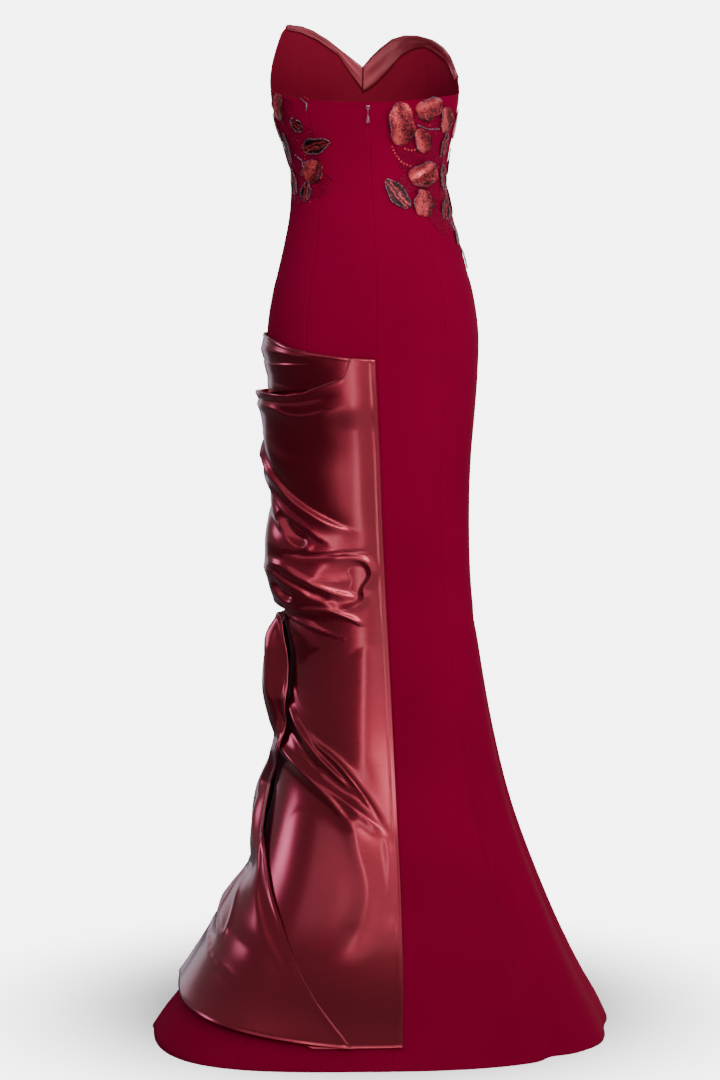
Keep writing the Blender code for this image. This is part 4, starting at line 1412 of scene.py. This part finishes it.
MOTIFS = table_of(
    Motif,
    ("petal_left_1", -66, 1.288, 0.029, 0.021, 18, 0.0015),
    ("leaf_left_2", -49, 1.262, 0.020, 0.013, -42, 0.0005),
    ("leaf_left_3", -38, 1.233, 0.037, 0.018, 76, 0.0020),
    ("leaf_left_4", -71, 1.232, 0.038, 0.014, 6, 0.0010),
    ("petal_left_5", -43, 1.197, 0.027, 0.023, 30, 0.0030),
    ("leaf_left_6", -69, 1.184, 0.032, 0.013, -14, 0.0010),
    ("leaf_left_7", -51, 1.170, 0.025, 0.014, 12, 0.0010),
    ("petal_left_8", -88, 1.262, 0.032, 0.022, -20, 0.0020),
    ("leaf_left_9", -99, 1.224, 0.034, 0.016, 20, 0.0010),
    ("petal_left_10", -112, 1.300, 0.034, 0.024, 30, 0.0025),
    ("leaf_left_11", -118, 1.256, 0.034, 0.016, -30, 0.0010),
    ("petal_right_1", 21, 1.262, 0.046, 0.026, -6, 0.0030),
    ("petal_right_2", 40, 1.284, 0.032, 0.022, 68, 0.0020),
    ("petal_right_3", 57, 1.270, 0.028, 0.020, -12, 0.0015),
    ("petal_right_4", 37, 1.240, 0.028, 0.017, -28, 0.0020),
    ("petal_right_5", 40, 1.194, 0.034, 0.025, 62, 0.0040),
    ("leaf_right_6", 18, 1.166, 0.042, 0.021, -34, 0.0010),
    ("leaf_right_7", 60, 1.236, 0.031, 0.011, 4, 0.0010),
    ("leaf_right_8", 64, 1.191, 0.032, 0.014, -10, 0.0010),
    ("petal_right_9", 37, 1.153, 0.030, 0.021, 14, 0.0030),
    ("leaf_right_10", 60, 1.146, 0.028, 0.014, 24, 0.0010),
    ("leaf_right_11", 72, 1.110, 0.026, 0.012, 16, 0.0010),
    ("leaf_right_12", 83, 1.078, 0.024, 0.010, 8, 0.0010),
    ("petal_right_13", 84, 1.268, 0.034, 0.023, 22, 0.0025),
    ("leaf_right_14", 90, 1.215, 0.034, 0.016, -20, 0.0010),
    ("petal_right_15", 108, 1.296, 0.034, 0.024, -26, 0.0025),
    ("leaf_right_16", 114, 1.246, 0.034, 0.016, 26, 0.0010),
    ("leaf_right_17", 96, 1.160, 0.034, 0.015, 10, 0.0010),
)
# Sheer petals, flat on the crepe: angle, height, length, width and turn of each
SHEER = {
    "left": [
        (-57, 1.264, 0.036, 0.026, -30), (-60, 1.284, 0.030, 0.022, 50), (-48, 1.244, 0.034, 0.022, 60),
        (-60, 1.214, 0.036, 0.024, -20), (-50, 1.204, 0.034, 0.022, 70), (-38, 1.176, 0.032, 0.020, 44),
        (-60, 1.174, 0.034, 0.022, 20), (-84, 1.228, 0.040, 0.022, 10), (-84, 1.196, 0.034, 0.020, -20),
        (-104, 1.268, 0.036, 0.022, 60),
    ],
    "right": [
        (44, 1.268, 0.042, 0.028, 20), (33, 1.254, 0.036, 0.024, -30), (26, 1.236, 0.036, 0.022, 40),
        (40, 1.222, 0.042, 0.028, -50), (31, 1.214, 0.034, 0.022, 60), (54, 1.240, 0.034, 0.022, 10),
        (30, 1.182, 0.036, 0.022, 70), (50, 1.172, 0.036, 0.022, 60), (48, 1.134, 0.042, 0.020, -30),
        (58, 1.214, 0.036, 0.020, 0), (66, 1.166, 0.034, 0.020, 20), (68, 1.136, 0.034, 0.018, 20),
        (98, 1.262, 0.036, 0.022, -60),
    ],
}
# Strings of bugle beads, as places of angle and height
BEAD_STRINGS = {
    "left": [
        [(-42, 1.297), (-38, 1.290), (-39, 1.280)],
        [(-61, 1.222), (-54, 1.214), (-53, 1.201), (-57, 1.192)],
    ],
    "right": [
        [(17.8, 1.290), (16.6, 1.272), (17.1, 1.252)],
        [(31.9, 1.261), (40, 1.256), (49.9, 1.257)],
        [(36.2, 1.177), (44, 1.178), (51.8, 1.185)],
        [(64, 1.128), (69, 1.118), (74, 1.096), (84, 1.062)],
    ],
}
# Strings of coral cup sequins, a little apart
DOT_STRINGS = {
    "left": [
        [(-56, 1.246), (-50, 1.236), (-49, 1.222), (-52, 1.208)],
        [(-40, 1.300), (-36, 1.296)],
    ],
    "right": [
        [(14.6, 1.233), (18.2, 1.219), (22.8, 1.209), (29, 1.205)],
        [(23.3, 1.229), (30, 1.226), (36.2, 1.230)],
        [(50, 1.256), (52, 1.258)],
        [(70, 1.190), (69, 1.170), (66, 1.150)],
    ],
}


@dataclass
class FlowerApplique:
    """Petals, leaves, sheer organza, bead edging, strings and sequins on both sides."""

    rows: int = 22
    columns: int = 12
    rim: float = 0.0002
    sheer_rows: int = 14
    sheer_columns: int = 9
    sheer_rim: float = 0.0001
    edge_points: int = 40
    string_points: int = 24
    bead_step: float = 0.0022
    bead_size: float = 0.0020
    fullness: float = 1.16
    petal_fullness: float = 1.30
    raggedness: float = 0.09
    ragged_waves: float = 11.0
    flat_past: float = 70.0
    flat_share: float = 0.12
    petal_edging: float = 0.80
    dot_step: float = 0.0050
    petal_blunt: float = 0.42
    leaf_blunt: float = 0.75
    bugle_length: float = 0.0040
    bugle_width: float = 0.0016
    sequin_size: float = 0.0030
    loose_sequins: int = 22
    loose_turn: float = 9.0
    loose_reach: float = 0.024
    loose_lie: float = 0.0004
    top_gap: float = 0.008
    bugle_lie: float = 0.0018
    dot_lie: float = 0.0012
    sheer_lie: float = 0.0003
    sheer_wall: float = 0.0002
    sheer_curl: float = 0.0008
    taper: float = 0.85
    tip_share: float = 0.07
    vein_rise: float = 0.0009
    petal_rise: float = 1.1
    wave_share: float = 0.6
    pleat_share: float = 0.5

    def shape(self, motif: Motif) -> Shape:
        """Petal or leaf, from the piece's name."""
        return Shape.LEAF if motif.name.startswith("leaf") else Shape.PETAL

    def place(self, motif: Motif, along: Any, across: Any, off: Any) -> np.ndarray:
        """Points of a motif on the bodice.

        Args:
            motif: the petal or leaf.
            along: 0 at its root to 1 at its tip.
            across: -1 at one edge to 1 at the other.
            off: distance off the crepe.

        Returns:
            The points.
        """
        leaf = self.shape(motif) is Shape.LEAF
        blunt = self.leaf_blunt if leaf else self.petal_blunt
        full = self.fullness if leaf else self.petal_fullness
        bow = np.sin(np.pi * along**self.taper) ** blunt
        half = motif.width / 2 * (bow * (1 - self.tip_share) + self.tip_share)
        uneven = np.sin(along * self.ragged_waves + motif.angle + 2.0 * np.sign(across))
        half = half * full * (1 + self.raggedness * uneven)
        forward = motif.length * full * (along - 0.5)
        turn = math.radians(motif.turn)
        right = forward * math.sin(turn) + across * half * math.cos(turn)
        up = forward * math.cos(turn) - across * half * math.sin(turn)
        half_width = float(smooth_column(SECTIONS, "half_width", motif.height))
        depth = "front" if abs(motif.angle) > 90 else "back"
        half_depth = float(smooth_column(SECTIONS, depth, motif.height))
        at = math.radians(motif.angle)
        metres_per_radian = math.hypot(half_width * math.cos(at), half_depth * math.sin(at))
        angle = motif.angle + np.degrees(right / metres_per_radian)
        return FORM.off(motif.height + up, angle, off)

    def lift(self, motif: Motif, along: Any, across: Any) -> np.ndarray:
        """Curl, ruffles and the middle vein of a motif, as metres outwards."""
        height = motif.curl * (self.flat_share if abs(motif.angle) > self.flat_past else 1.0)
        curl = height * (across**2 * np.sin(np.pi * along) + along**3)
        if self.shape(motif) is Shape.LEAF:
            return curl + self.vein_rise * np.abs(across) ** 0.7 * np.sin(np.pi * along)
        waves = np.sin(along * 13.0 + across * 2.0 + motif.angle) * across**2
        pleats = np.sin(across * 6.0 + along * 3.0 + motif.height * 90) * (1 - across**2)
        rise = self.wave_share * waves + self.pleat_share * pleats + self.petal_rise
        return curl + rise * height * np.sin(np.pi * along)

    def petals(self, finishes: Finishes) -> dict[str, list]:
        """Makes the raised petals and leaves, and says which side each is on."""
        made: dict[str, list] = {"left": [], "right": []}
        along = np.linspace(0.0, 1.0, self.rows)[:, None]
        across = np.linspace(-1.0, 1.0, self.columns + 1)[None, :]
        for motif in MOTIFS:
            lift = self.lift(motif, along, across)
            face = self.place(motif, along, across, MOTIF_LIE + PETAL + lift)
            under = self.place(motif, along, across, MOTIF_LIE + lift)
            skin = finishes.leaf if self.shape(motif) is Shape.LEAF else finishes.sequins
            obj = cloth_wall("beaded_" + motif.name, face, under, [skin], self.rim)
            mount_piece(obj, nodes=(motif.name,))
            made["left" if "left" in motif.name else "right"].append(obj)
        return made

    def sheer(self, finishes: Finishes, side: str) -> Any:
        """The sheer organza petals of one side, as one piece."""
        along = np.linspace(0.0, 1.0, self.sheer_rows)[:, None]
        across = np.linspace(-1.0, 1.0, self.sheer_columns)[None, :]
        parts = []
        for row in SHEER[side]:
            motif = Motif(side, *row, self.sheer_curl)
            waves = motif.curl * (1 + np.sin(along * 11 + across * 3)) * np.abs(across) * 0.5
            face = self.place(motif, along, across, self.sheer_lie + self.sheer_wall + waves)
            under = self.place(motif, along, across, self.sheer_lie + waves)
            skins = [finishes.organza]
            parts.append(cloth_wall("sheer_" + side, face, under, skins, self.sheer_rim))
        return join_parts("organza_petals_" + side, parts)

    def blank(self, vertices: int, width: float, depth: float) -> Any:
        """An upright cylinder in edit mode, which a small shape is made from."""
        bpy.ops.mesh.primitive_cylinder_add(vertices=vertices, radius=width / 2, depth=depth)
        bpy.ops.object.mode_set(mode="EDIT")
        return bpy.context.object

    def bead(self) -> Any:
        """A seed bead, modelled once: a short cylinder with bevelled rims."""
        obj = self.blank(6, self.bead_size, self.bead_size * 0.8)
        bevel_all(self.bead_size * 0.16, 1)
        return obj

    def bugle(self) -> Any:
        """A twisted bugle bead, modelled once: a hexagonal tube whose far end is turned."""
        obj = self.blank(6, self.bugle_width, self.bugle_length)
        select_parts(obj, "faces", lambda face: face.normal.z > 0.9)
        bpy.ops.transform.rotate(value=math.radians(40), orient_axis="Z", center_override=(0, 0, 0))
        bpy.ops.mesh.inset(thickness=self.bugle_width * 0.2)
        bpy.ops.object.mode_set(mode="OBJECT")
        return obj

    def sequin(self) -> Any:
        """A cupped sequin, modelled once: a disc whose middle is inset and pressed in."""
        obj = self.blank(8, self.sequin_size, 0.0003)
        select_parts(obj, "faces", lambda face: face.normal.z > 0.9)
        bpy.ops.mesh.inset(thickness=self.sequin_size * 0.25)
        bpy.ops.transform.translate(value=(0, 0, -0.0002))
        bpy.ops.object.mode_set(mode="OBJECT")
        return obj

    def copies(self, name: str, model: Any, places: list, skin: Any) -> Any:
        """Copies a small shape to many places, as one piece with its own mesh.

        Args:
            name: the new piece's name.
            model: the shape that was modelled once.
            places: a matrix for each copy.
            skin: its material.

        Returns:
            The new object.
        """
        points = np.array([v.co for v in model.data.vertices])
        faces = [list(p.vertices) for p in model.data.polygons]
        every, each = [], []
        for i, place in enumerate(places):
            turned = points @ np.array(place.to_3x3()).T + np.array(place.translation)
            every.append(turned)
            each.extend([v + i * len(points) for v in f] for f in faces)
        mesh = bpy.data.meshes.new(name)
        mesh.from_pydata(np.concatenate(every).tolist(), [], each)
        mesh.materials.append(skin)
        obj = bpy.data.objects.new(name, mesh)
        bpy.context.scene.collection.objects.link(obj)
        return obj

    def aimed(self, at: np.ndarray, toward: np.ndarray, out: np.ndarray) -> Matrix:
        """A place whose Z runs along a direction, with X near the outward one."""
        z = Vector(toward).normalized()
        y = z.cross(Vector(out)).normalized()
        x = y.cross(z)
        turned = Matrix((x, y, z)).transposed().to_4x4()
        return Matrix.Translation(Vector(at)) @ turned

    def along_path(
        self, path: np.ndarray, out: np.ndarray, step: float, flat: bool = False
    ) -> list[Matrix]:
        """Places spaced evenly along a path of points.

        Args:
            path: the path's points.
            out: the outward direction at each.
            step: metres between places.
            flat: whether Z is the outward direction, not the path's.

        Returns:
            The places.
        """
        lengths = np.linalg.norm(np.diff(path, axis=0), axis=1)
        reach = np.concatenate([[0.0], np.cumsum(lengths)])
        at = np.arange(step / 2, reach[-1], step)
        middle = np.stack([np.interp(at, reach, path[:, i]) for i in range(3)], axis=1)
        ahead = np.stack([np.interp(at + step / 4, reach, path[:, i]) for i in range(3)], axis=1)
        facing = np.stack([np.interp(at, reach, out[:, i]) for i in range(3)], axis=1)
        found = []
        for here, there, outward in zip(middle, ahead, facing):
            if flat:
                found.append(self.aimed(here, outward, UPWARD))
            elif np.linalg.norm(there - here) > 1e-7:
                found.append(self.aimed(here, there - here, outward))
        return found

    def edging(self, side: str) -> list[Matrix]:
        """Bead places round the edge of each raised motif of one side."""
        found = []
        for motif in (m for m in MOTIFS if side in m.name):
            if abs(motif.angle) > self.flat_past:
                continue
            leaf = self.shape(motif) is Shape.LEAF
            first = 0.02 if leaf else 1 - self.petal_edging
            share = np.linspace(first, 0.99, self.edge_points)
            for edge in (-1.0, 1.0) if leaf else (-1.0,):
                lift = self.lift(motif, share, edge)
                path = self.place(motif, share, edge, MOTIF_LIE + PETAL * 0.8 + lift)
                out = FORM.normals(
                    np.full(share.shape, motif.height), np.full(share.shape, float(motif.angle))
                )
                found += self.along_path(path, out, self.bead_step)
        return found

    def strung(self, strings: list, off: float, step: float, flat: bool = False) -> list[Matrix]:
        """Places along strings of (angle, height) places.

        Args:
            strings: the strings.
            off: how far they are off the crepe, in metres.
            step: metres between places.
            flat: whether each shape lies flat on the cloth, and not along its string.

        Returns:
            The places.
        """
        found = []
        for string in strings:
            angles, heights = zip(*string)
            share = np.linspace(0, len(string) - 1, self.string_points)
            angle = np.interp(share, range(len(string)), angles)
            height = np.interp(share, range(len(string)), heights)
            path = FORM.off(height, angle, off)
            found += self.along_path(path, FORM.normals(height, angle), step, flat)
        return found

    def scattered(self, side: str) -> list[Matrix]:
        """Sequin places near the motifs of one side, the same on each run."""
        chance = np.random.default_rng(7 if side == "left" else 11)
        motifs = [m for m in MOTIFS if side in m.name]
        found = self.strung(DOT_STRINGS[side], self.dot_lie, self.dot_step, flat=True)
        for i in range(self.loose_sequins):
            motif = motifs[i % len(motifs)]
            angle = motif.angle + chance.uniform(-self.loose_turn, self.loose_turn)
            height = motif.height + chance.uniform(-self.loose_reach, self.loose_reach)
            height = min(height, float(FORM.top(angle)) - self.top_gap)
            at = FORM.off(height, angle, self.loose_lie)
            out = FORM.normals(np.float64(height), np.float64(angle))
            found.append(self.aimed(at, out, UPWARD))
        return found

    def build(self, finishes: Finishes) -> dict[str, list]:
        """Makes the applique.

        Args:
            finishes: the gown's materials.

        Returns:
            The pieces sewn on the left and on the right of the bodice.
        """
        made = self.petals(finishes)
        bead, bugle, sequin = self.bead(), self.bugle(), self.sequin()
        gap = self.bugle_length * 1.05
        for side, pieces in made.items():
            strings = self.strung(BEAD_STRINGS[side], self.bugle_lie, gap)
            trims = [
                self.sheer(finishes, side),
                self.copies("bead_edges_" + side, bead, self.edging(side), finishes.bead),
                self.copies("bugle_strings_" + side, bugle, strings, finishes.bugle),
                self.copies("sequins_" + side, sequin, self.scattered(side), finishes.foil),
            ]
            for trim in trims:
                mount_piece(trim)
            pieces += trims
        for model in (bead, bugle, sequin):
            bpy.data.objects.remove(model, do_unlink=True)
        return made


@dataclass
class BackZip:
    """Slider and teardrop pull at the top of the centre back seam."""

    slider_bevel: float = 0.0004
    fine_bevel: float = 0.0002
    drop_bevel: float = 0.0003
    plate_thickness: float = 0.0012
    ear_inset: float = 0.0005
    ear_thickness: float = 0.0009
    ear_height: float = 0.0026
    bar_radius: float = 0.0005
    bar_depth: float = 0.0008
    eye_major: float = 0.00112
    eye_minor: float = 0.00042
    stem_width: float = 0.0012
    stem_length: float = 0.0085
    drop_length: float = 0.0140
    drop_width: float = 0.0056
    drop_rise: float = 0.0028
    drop_levels: tuple = ((0.30, 0.82), (0.70, 0.62), (0.92, 0.75))
    thickness: float = 0.0013

    def fixed(self) -> Any:
        """The shape just added, with its place, turn and size applied."""
        bpy.ops.object.transform_apply(location=True, rotation=True, scale=True)
        return bpy.context.object

    def cube(self, size: tuple, middle: tuple, bevel: float) -> Any:
        """A block with bevelled edges at its size and place."""
        bpy.ops.mesh.primitive_cube_add(size=1.0, location=middle, scale=size)
        obj = self.fixed()
        bevel_all(bevel, 3)
        return obj

    def joined(self, name: str, parts: list, skin: Any) -> Any:
        """Joins the parts, smooths them and dresses them."""
        obj = join_parts(name, parts)
        bpy.ops.object.shade_smooth_by_angle(angle=math.radians(40))
        obj.data.materials.clear()
        obj.data.materials.append(skin)
        return obj

    def slider(self, skin: Any) -> Any:
        """The slider's body with its two ears and the bar between them."""
        low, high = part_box("zip_slider")
        middle = (low + high) / 2
        width, length = high.x - low.x, high.z - low.z
        plate = self.plate_thickness
        back = (middle.x, high.y - plate / 2, middle.z)
        parts = [self.cube((width, plate, length), back, self.slider_bevel)]
        for side in (-1, 1):
            ear = (middle.x + side * (width / 2 - self.ear_inset), (low.y + high.y) / 2, middle.z)
            size = (self.ear_thickness, high.y - low.y - 0.0002, self.ear_height)
            parts.append(self.cube(size, ear, self.fine_bevel))
        bpy.ops.mesh.primitive_cylinder_add(
            vertices=16, radius=self.bar_radius, depth=width - 2 * self.ear_inset,
            location=(middle.x, low.y + self.bar_depth, middle.z), rotation=(0, math.radians(90), 0),
        )
        parts.append(self.fixed())
        return self.joined("enamel_zip_slider", parts, skin)

    def pull(self, skin: Any) -> Any:
        """The pull tab: an eye round the bar, a stem and a teardrop plate."""
        x, y, z = frame["joints"][0]["pos_m"]
        bpy.ops.mesh.primitive_torus_add(
            location=(x, y, z), rotation=(0, math.radians(90), 0),
            major_radius=self.eye_major, minor_radius=self.eye_minor,
            major_segments=24, minor_segments=10,
        )
        eye = self.fixed()
        stem = self.cube(
            (self.stem_width, self.thickness * 0.8, self.stem_length - 0.001),
            (x, y, z - 0.001 - self.stem_length / 2), self.fine_bevel,
        )
        radius = self.drop_width / 2
        foot = z - self.stem_length - self.drop_length + radius
        bpy.ops.mesh.primitive_cylinder_add(
            vertices=32, radius=radius, depth=self.thickness,
            location=(x, y, foot), rotation=(math.radians(90), 0, 0),
        )
        drop = self.fixed()
        bpy.ops.object.mode_set(mode="EDIT")
        for i, (level, narrow) in enumerate(self.drop_levels):
            least = foot + level * radius + i * self.drop_rise
            select_parts(drop, "verts", lambda vert: vert.co.z > least)
            bpy.ops.transform.translate(value=(0, 0, self.drop_rise))
            bpy.ops.transform.resize(value=(narrow, 1, 1), center_override=(x, y, foot))
        bevel_all(self.drop_bevel, 2)
        return self.joined("enamel_zip_pull", [eye, stem, drop], skin)

    def build(self, finishes: Finishes) -> None:
        """Makes the slider and the pull.

        Args:
            finishes: the gown's materials.
        """
        mount_piece(self.slider(finishes.enamel), nodes=("zip_slider",))
        mount_piece(self.pull(finishes.enamel), body=PULL_BODY, nodes=("zip_pull",))


class Softbox(NamedTuple):
    """A studio light: its place, size, power and colour, and the beam its grid lets through."""

    name: str
    place: tuple
    aim: tuple
    width: float
    height: float
    watts: float
    colour: str
    spread: float = 180.0


@dataclass
class PaleStudio:
    """Pale floor, soft lights and the camera at the photograph's angle."""

    eye: tuple = (-0.16, -4.0, -0.17)
    target: tuple = (-0.0143, 0.0, -0.4943)
    lens: float = 93.33
    floor_reach: float = 14.0
    sky: float = 0.18
    backdrop: float = 6.0
    # Bearings and darkness of the floor's painted shade, which the camera doesn't see
    flag_shade_angles: tuple = (-6.0, -36.0)
    flag_shade_share: float = 0.88
    fade: tuple = (0.22, 0.72)
    floor_gap: float = 0.0005
    boxes: tuple = (
        Softbox("front_wall", (1.9, -4.9, 0.3), (0, 0, -0.4), 5.6, 4.6, 64, "#fffdfa"),
        Softbox("key_top", (0.5, -2.6, 0.9), (0, 0, 0.0), 1.6, 1.0, 2.4, "#fffdfa", 46),
        Softbox("glint_left", (-3.0, 0.6, 1.2), (-0.1, 0, -0.1), 1.2, 2.6, 1.5, "#d8deff", 32),
        Softbox("high_front", (0.7, -4.0, 3.1), (0, 0, -0.9), 5.0, 2.6, 24, "#fffdfa"),
        Softbox("high_left", (-2.6, -3.0, 2.7), (0, 0, -0.6), 3.0, 2.2, 10, "#f4f8ff"),
        Softbox("right_wall", (4.6, -1.2, 0.4), (0, 0, -0.4), 5.0, 5.0, 54, "#ffffff"),
        Softbox("near_strip", (-0.43, -1.6, -0.24), (-0.1, 0, -0.24), 0.09, 1.84, 2.4, "#ffffff"),
        Softbox("rim_left", (-1.9, 3.4, 0.0), (0, 0, -0.4), 1.3, 3.4, 9, "#e4ecff"),
        Softbox("back_right", (2.6, 4.0, 0.4), (0, 0, -0.4), 3.0, 3.4, 30, "#ffffff"),
        Softbox("top", (0.4, 1.6, 3.2), (0, 0, 0), 3.0, 3.0, 40, "#ffffff"),
    )

    def floor(self) -> None:
        """A pale matte floor, level with the hem.

        It fades out away from the gown for the camera alone. For all else its part behind and left
        of the gown is painted dark, a painted shade as under a black flag.
        """
        material, tree, shader, place = start_material("pale_paper_floor")
        grain = add_node(
            tree, "ShaderNodeTexNoise", {"Scale": 120.0}, {"Vector": place["Object"]}
        )
        tone = add_node(
            tree, "ShaderNodeValToRGB", {"stops": [(0.3, "#f4f4f4"), (0.7, "#fafafa")]},
            {"Fac": grain.outputs["Fac"]},
        )
        axes = add_node(
            tree, "ShaderNodeSeparateXYZ", {}, {"Vector": place["Object"]}
        )
        behind = add_node(
            tree, "ShaderNodeMath", {"operation": "MULTIPLY", 1: -1.0}, {0: axes.outputs["Y"]}
        )
        bearing = add_node(
            tree, "ShaderNodeMath", {"operation": "ARCTAN2"},
            {0: axes.outputs["X"], 1: behind.outputs["Value"]},
        )
        # Painted shade on the floor behind and left of the gown
        painted_flag_shade = add_node(
            tree,
            "ShaderNodeMapRange",
            {"interpolation_type": "SMOOTHSTEP", "From Min": math.radians(self.flag_shade_angles[0]),
             "From Max": math.radians(self.flag_shade_angles[1]), "To Max": self.flag_shade_share},
            {"Value": bearing.outputs["Value"]},
        )
        reach = add_node(
            tree, "ShaderNodeVectorMath", {"operation": "LENGTH"}, {0: place["Object"]}
        )
        fade = add_node(
            tree,
            "ShaderNodeMapRange",
            {"interpolation_type": "SMOOTHSTEP", "From Min": self.fade[0],
             "From Max": self.fade[1], "To Min": 0.0, "To Max": -1.0},
            {"Value": reach.outputs["Value"]},
        )
        seen = add_node(tree, "ShaderNodeLightPath")
        solid = add_node(
            tree, "ShaderNodeMath", {"operation": "MULTIPLY_ADD", 2: 1.0},
            {0: seen.outputs["Is Camera Ray"], 1: fade.outputs["Result"]},
        )
        unseen = add_node(
            tree, "ShaderNodeMath", {"operation": "SUBTRACT", 0: 1.0},
            {1: seen.outputs["Is Camera Ray"]},
        )
        shade = add_node(
            tree, "ShaderNodeMath", {"operation": "MULTIPLY"},
            {0: unseen.outputs["Value"], 1: painted_flag_shade.outputs["Result"]},
        )
        # Darkens the paper by the painted shade, except for camera rays
        paper = add_node(
            tree, "ShaderNodeMix", {"data_type": "RGBA", 7: linear("#202020")},
            {0: shade.outputs["Value"], 6: tone.outputs["Color"]},
        )
        links = {"Alpha": solid.outputs["Value"], "Base Color": paper.outputs[2]}
        set_node(tree, shader, {"Roughness": 0.9}, links)
        bpy.ops.mesh.primitive_circle_add(
            vertices=96, radius=self.floor_reach, fill_type="NGON",
            location=(0, 0, -WAIST - self.floor_gap),
        )
        disc = bpy.context.object
        disc.name = "studio_floor"
        disc.data.materials.append(material)

    def light(self) -> None:
        """The world's even light and the softboxes."""
        world = bpy.data.worlds.new("pale_studio")
        bpy.context.scene.world = world
        world.use_nodes = True
        tree = world.node_tree
        shade = tree.nodes["Background"]
        shade.inputs["Strength"].default_value = self.sky
        shown = add_node(tree, "ShaderNodeBackground", {"Strength": self.backdrop})
        seen = add_node(tree, "ShaderNodeLightPath")
        both = add_node(
            tree, "ShaderNodeMixShader", {},
            {0: seen.outputs["Is Camera Ray"], 1: shade.outputs[0], 2: shown.outputs[0]},
        )
        tree.links.new(both.outputs[0], tree.nodes["World Output"].inputs["Surface"])
        for socket in (shade.inputs["Color"], shown.inputs["Color"]):
            socket.default_value = linear("#ffffff")
        for box in self.boxes:
            data = bpy.data.lights.new(box.name, "AREA")
            data.shape = "RECTANGLE"
            data.size, data.size_y = box.width, box.height
            data.energy = box.watts
            data.color = linear(box.colour)[:3]
            data.spread = math.radians(box.spread)
            aim_at(box.name, data, box.place, box.aim)

    def camera(self) -> None:
        """The camera, where the photograph was taken from."""
        data = bpy.data.cameras.new("photo_camera")
        data.sensor_width = 36.0
        data.lens = self.lens
        bpy.context.scene.camera = aim_at("photo_camera", data, self.eye, self.target)

    def build(self) -> None:
        """Makes the floor, the lights and the camera."""
        self.floor()
        self.light()
        self.camera()


def main() -> None:
    """Builds every piece over the frame and reports it."""
    logging.basicConfig(level=logging.INFO, format="%(name)s %(message)s")
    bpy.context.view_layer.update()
    finishes = Finishes()
    panels = CrepePanels()
    panels.build(finishes)
    NecklineCuffs().build(finishes)
    SideDrape().build(finishes)
    trims = FlowerApplique().build(finishes)
    panels.declare()
    BackZip().build(finishes)
    PaleStudio().build()
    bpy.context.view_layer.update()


if __name__ == "__main__":
    main()
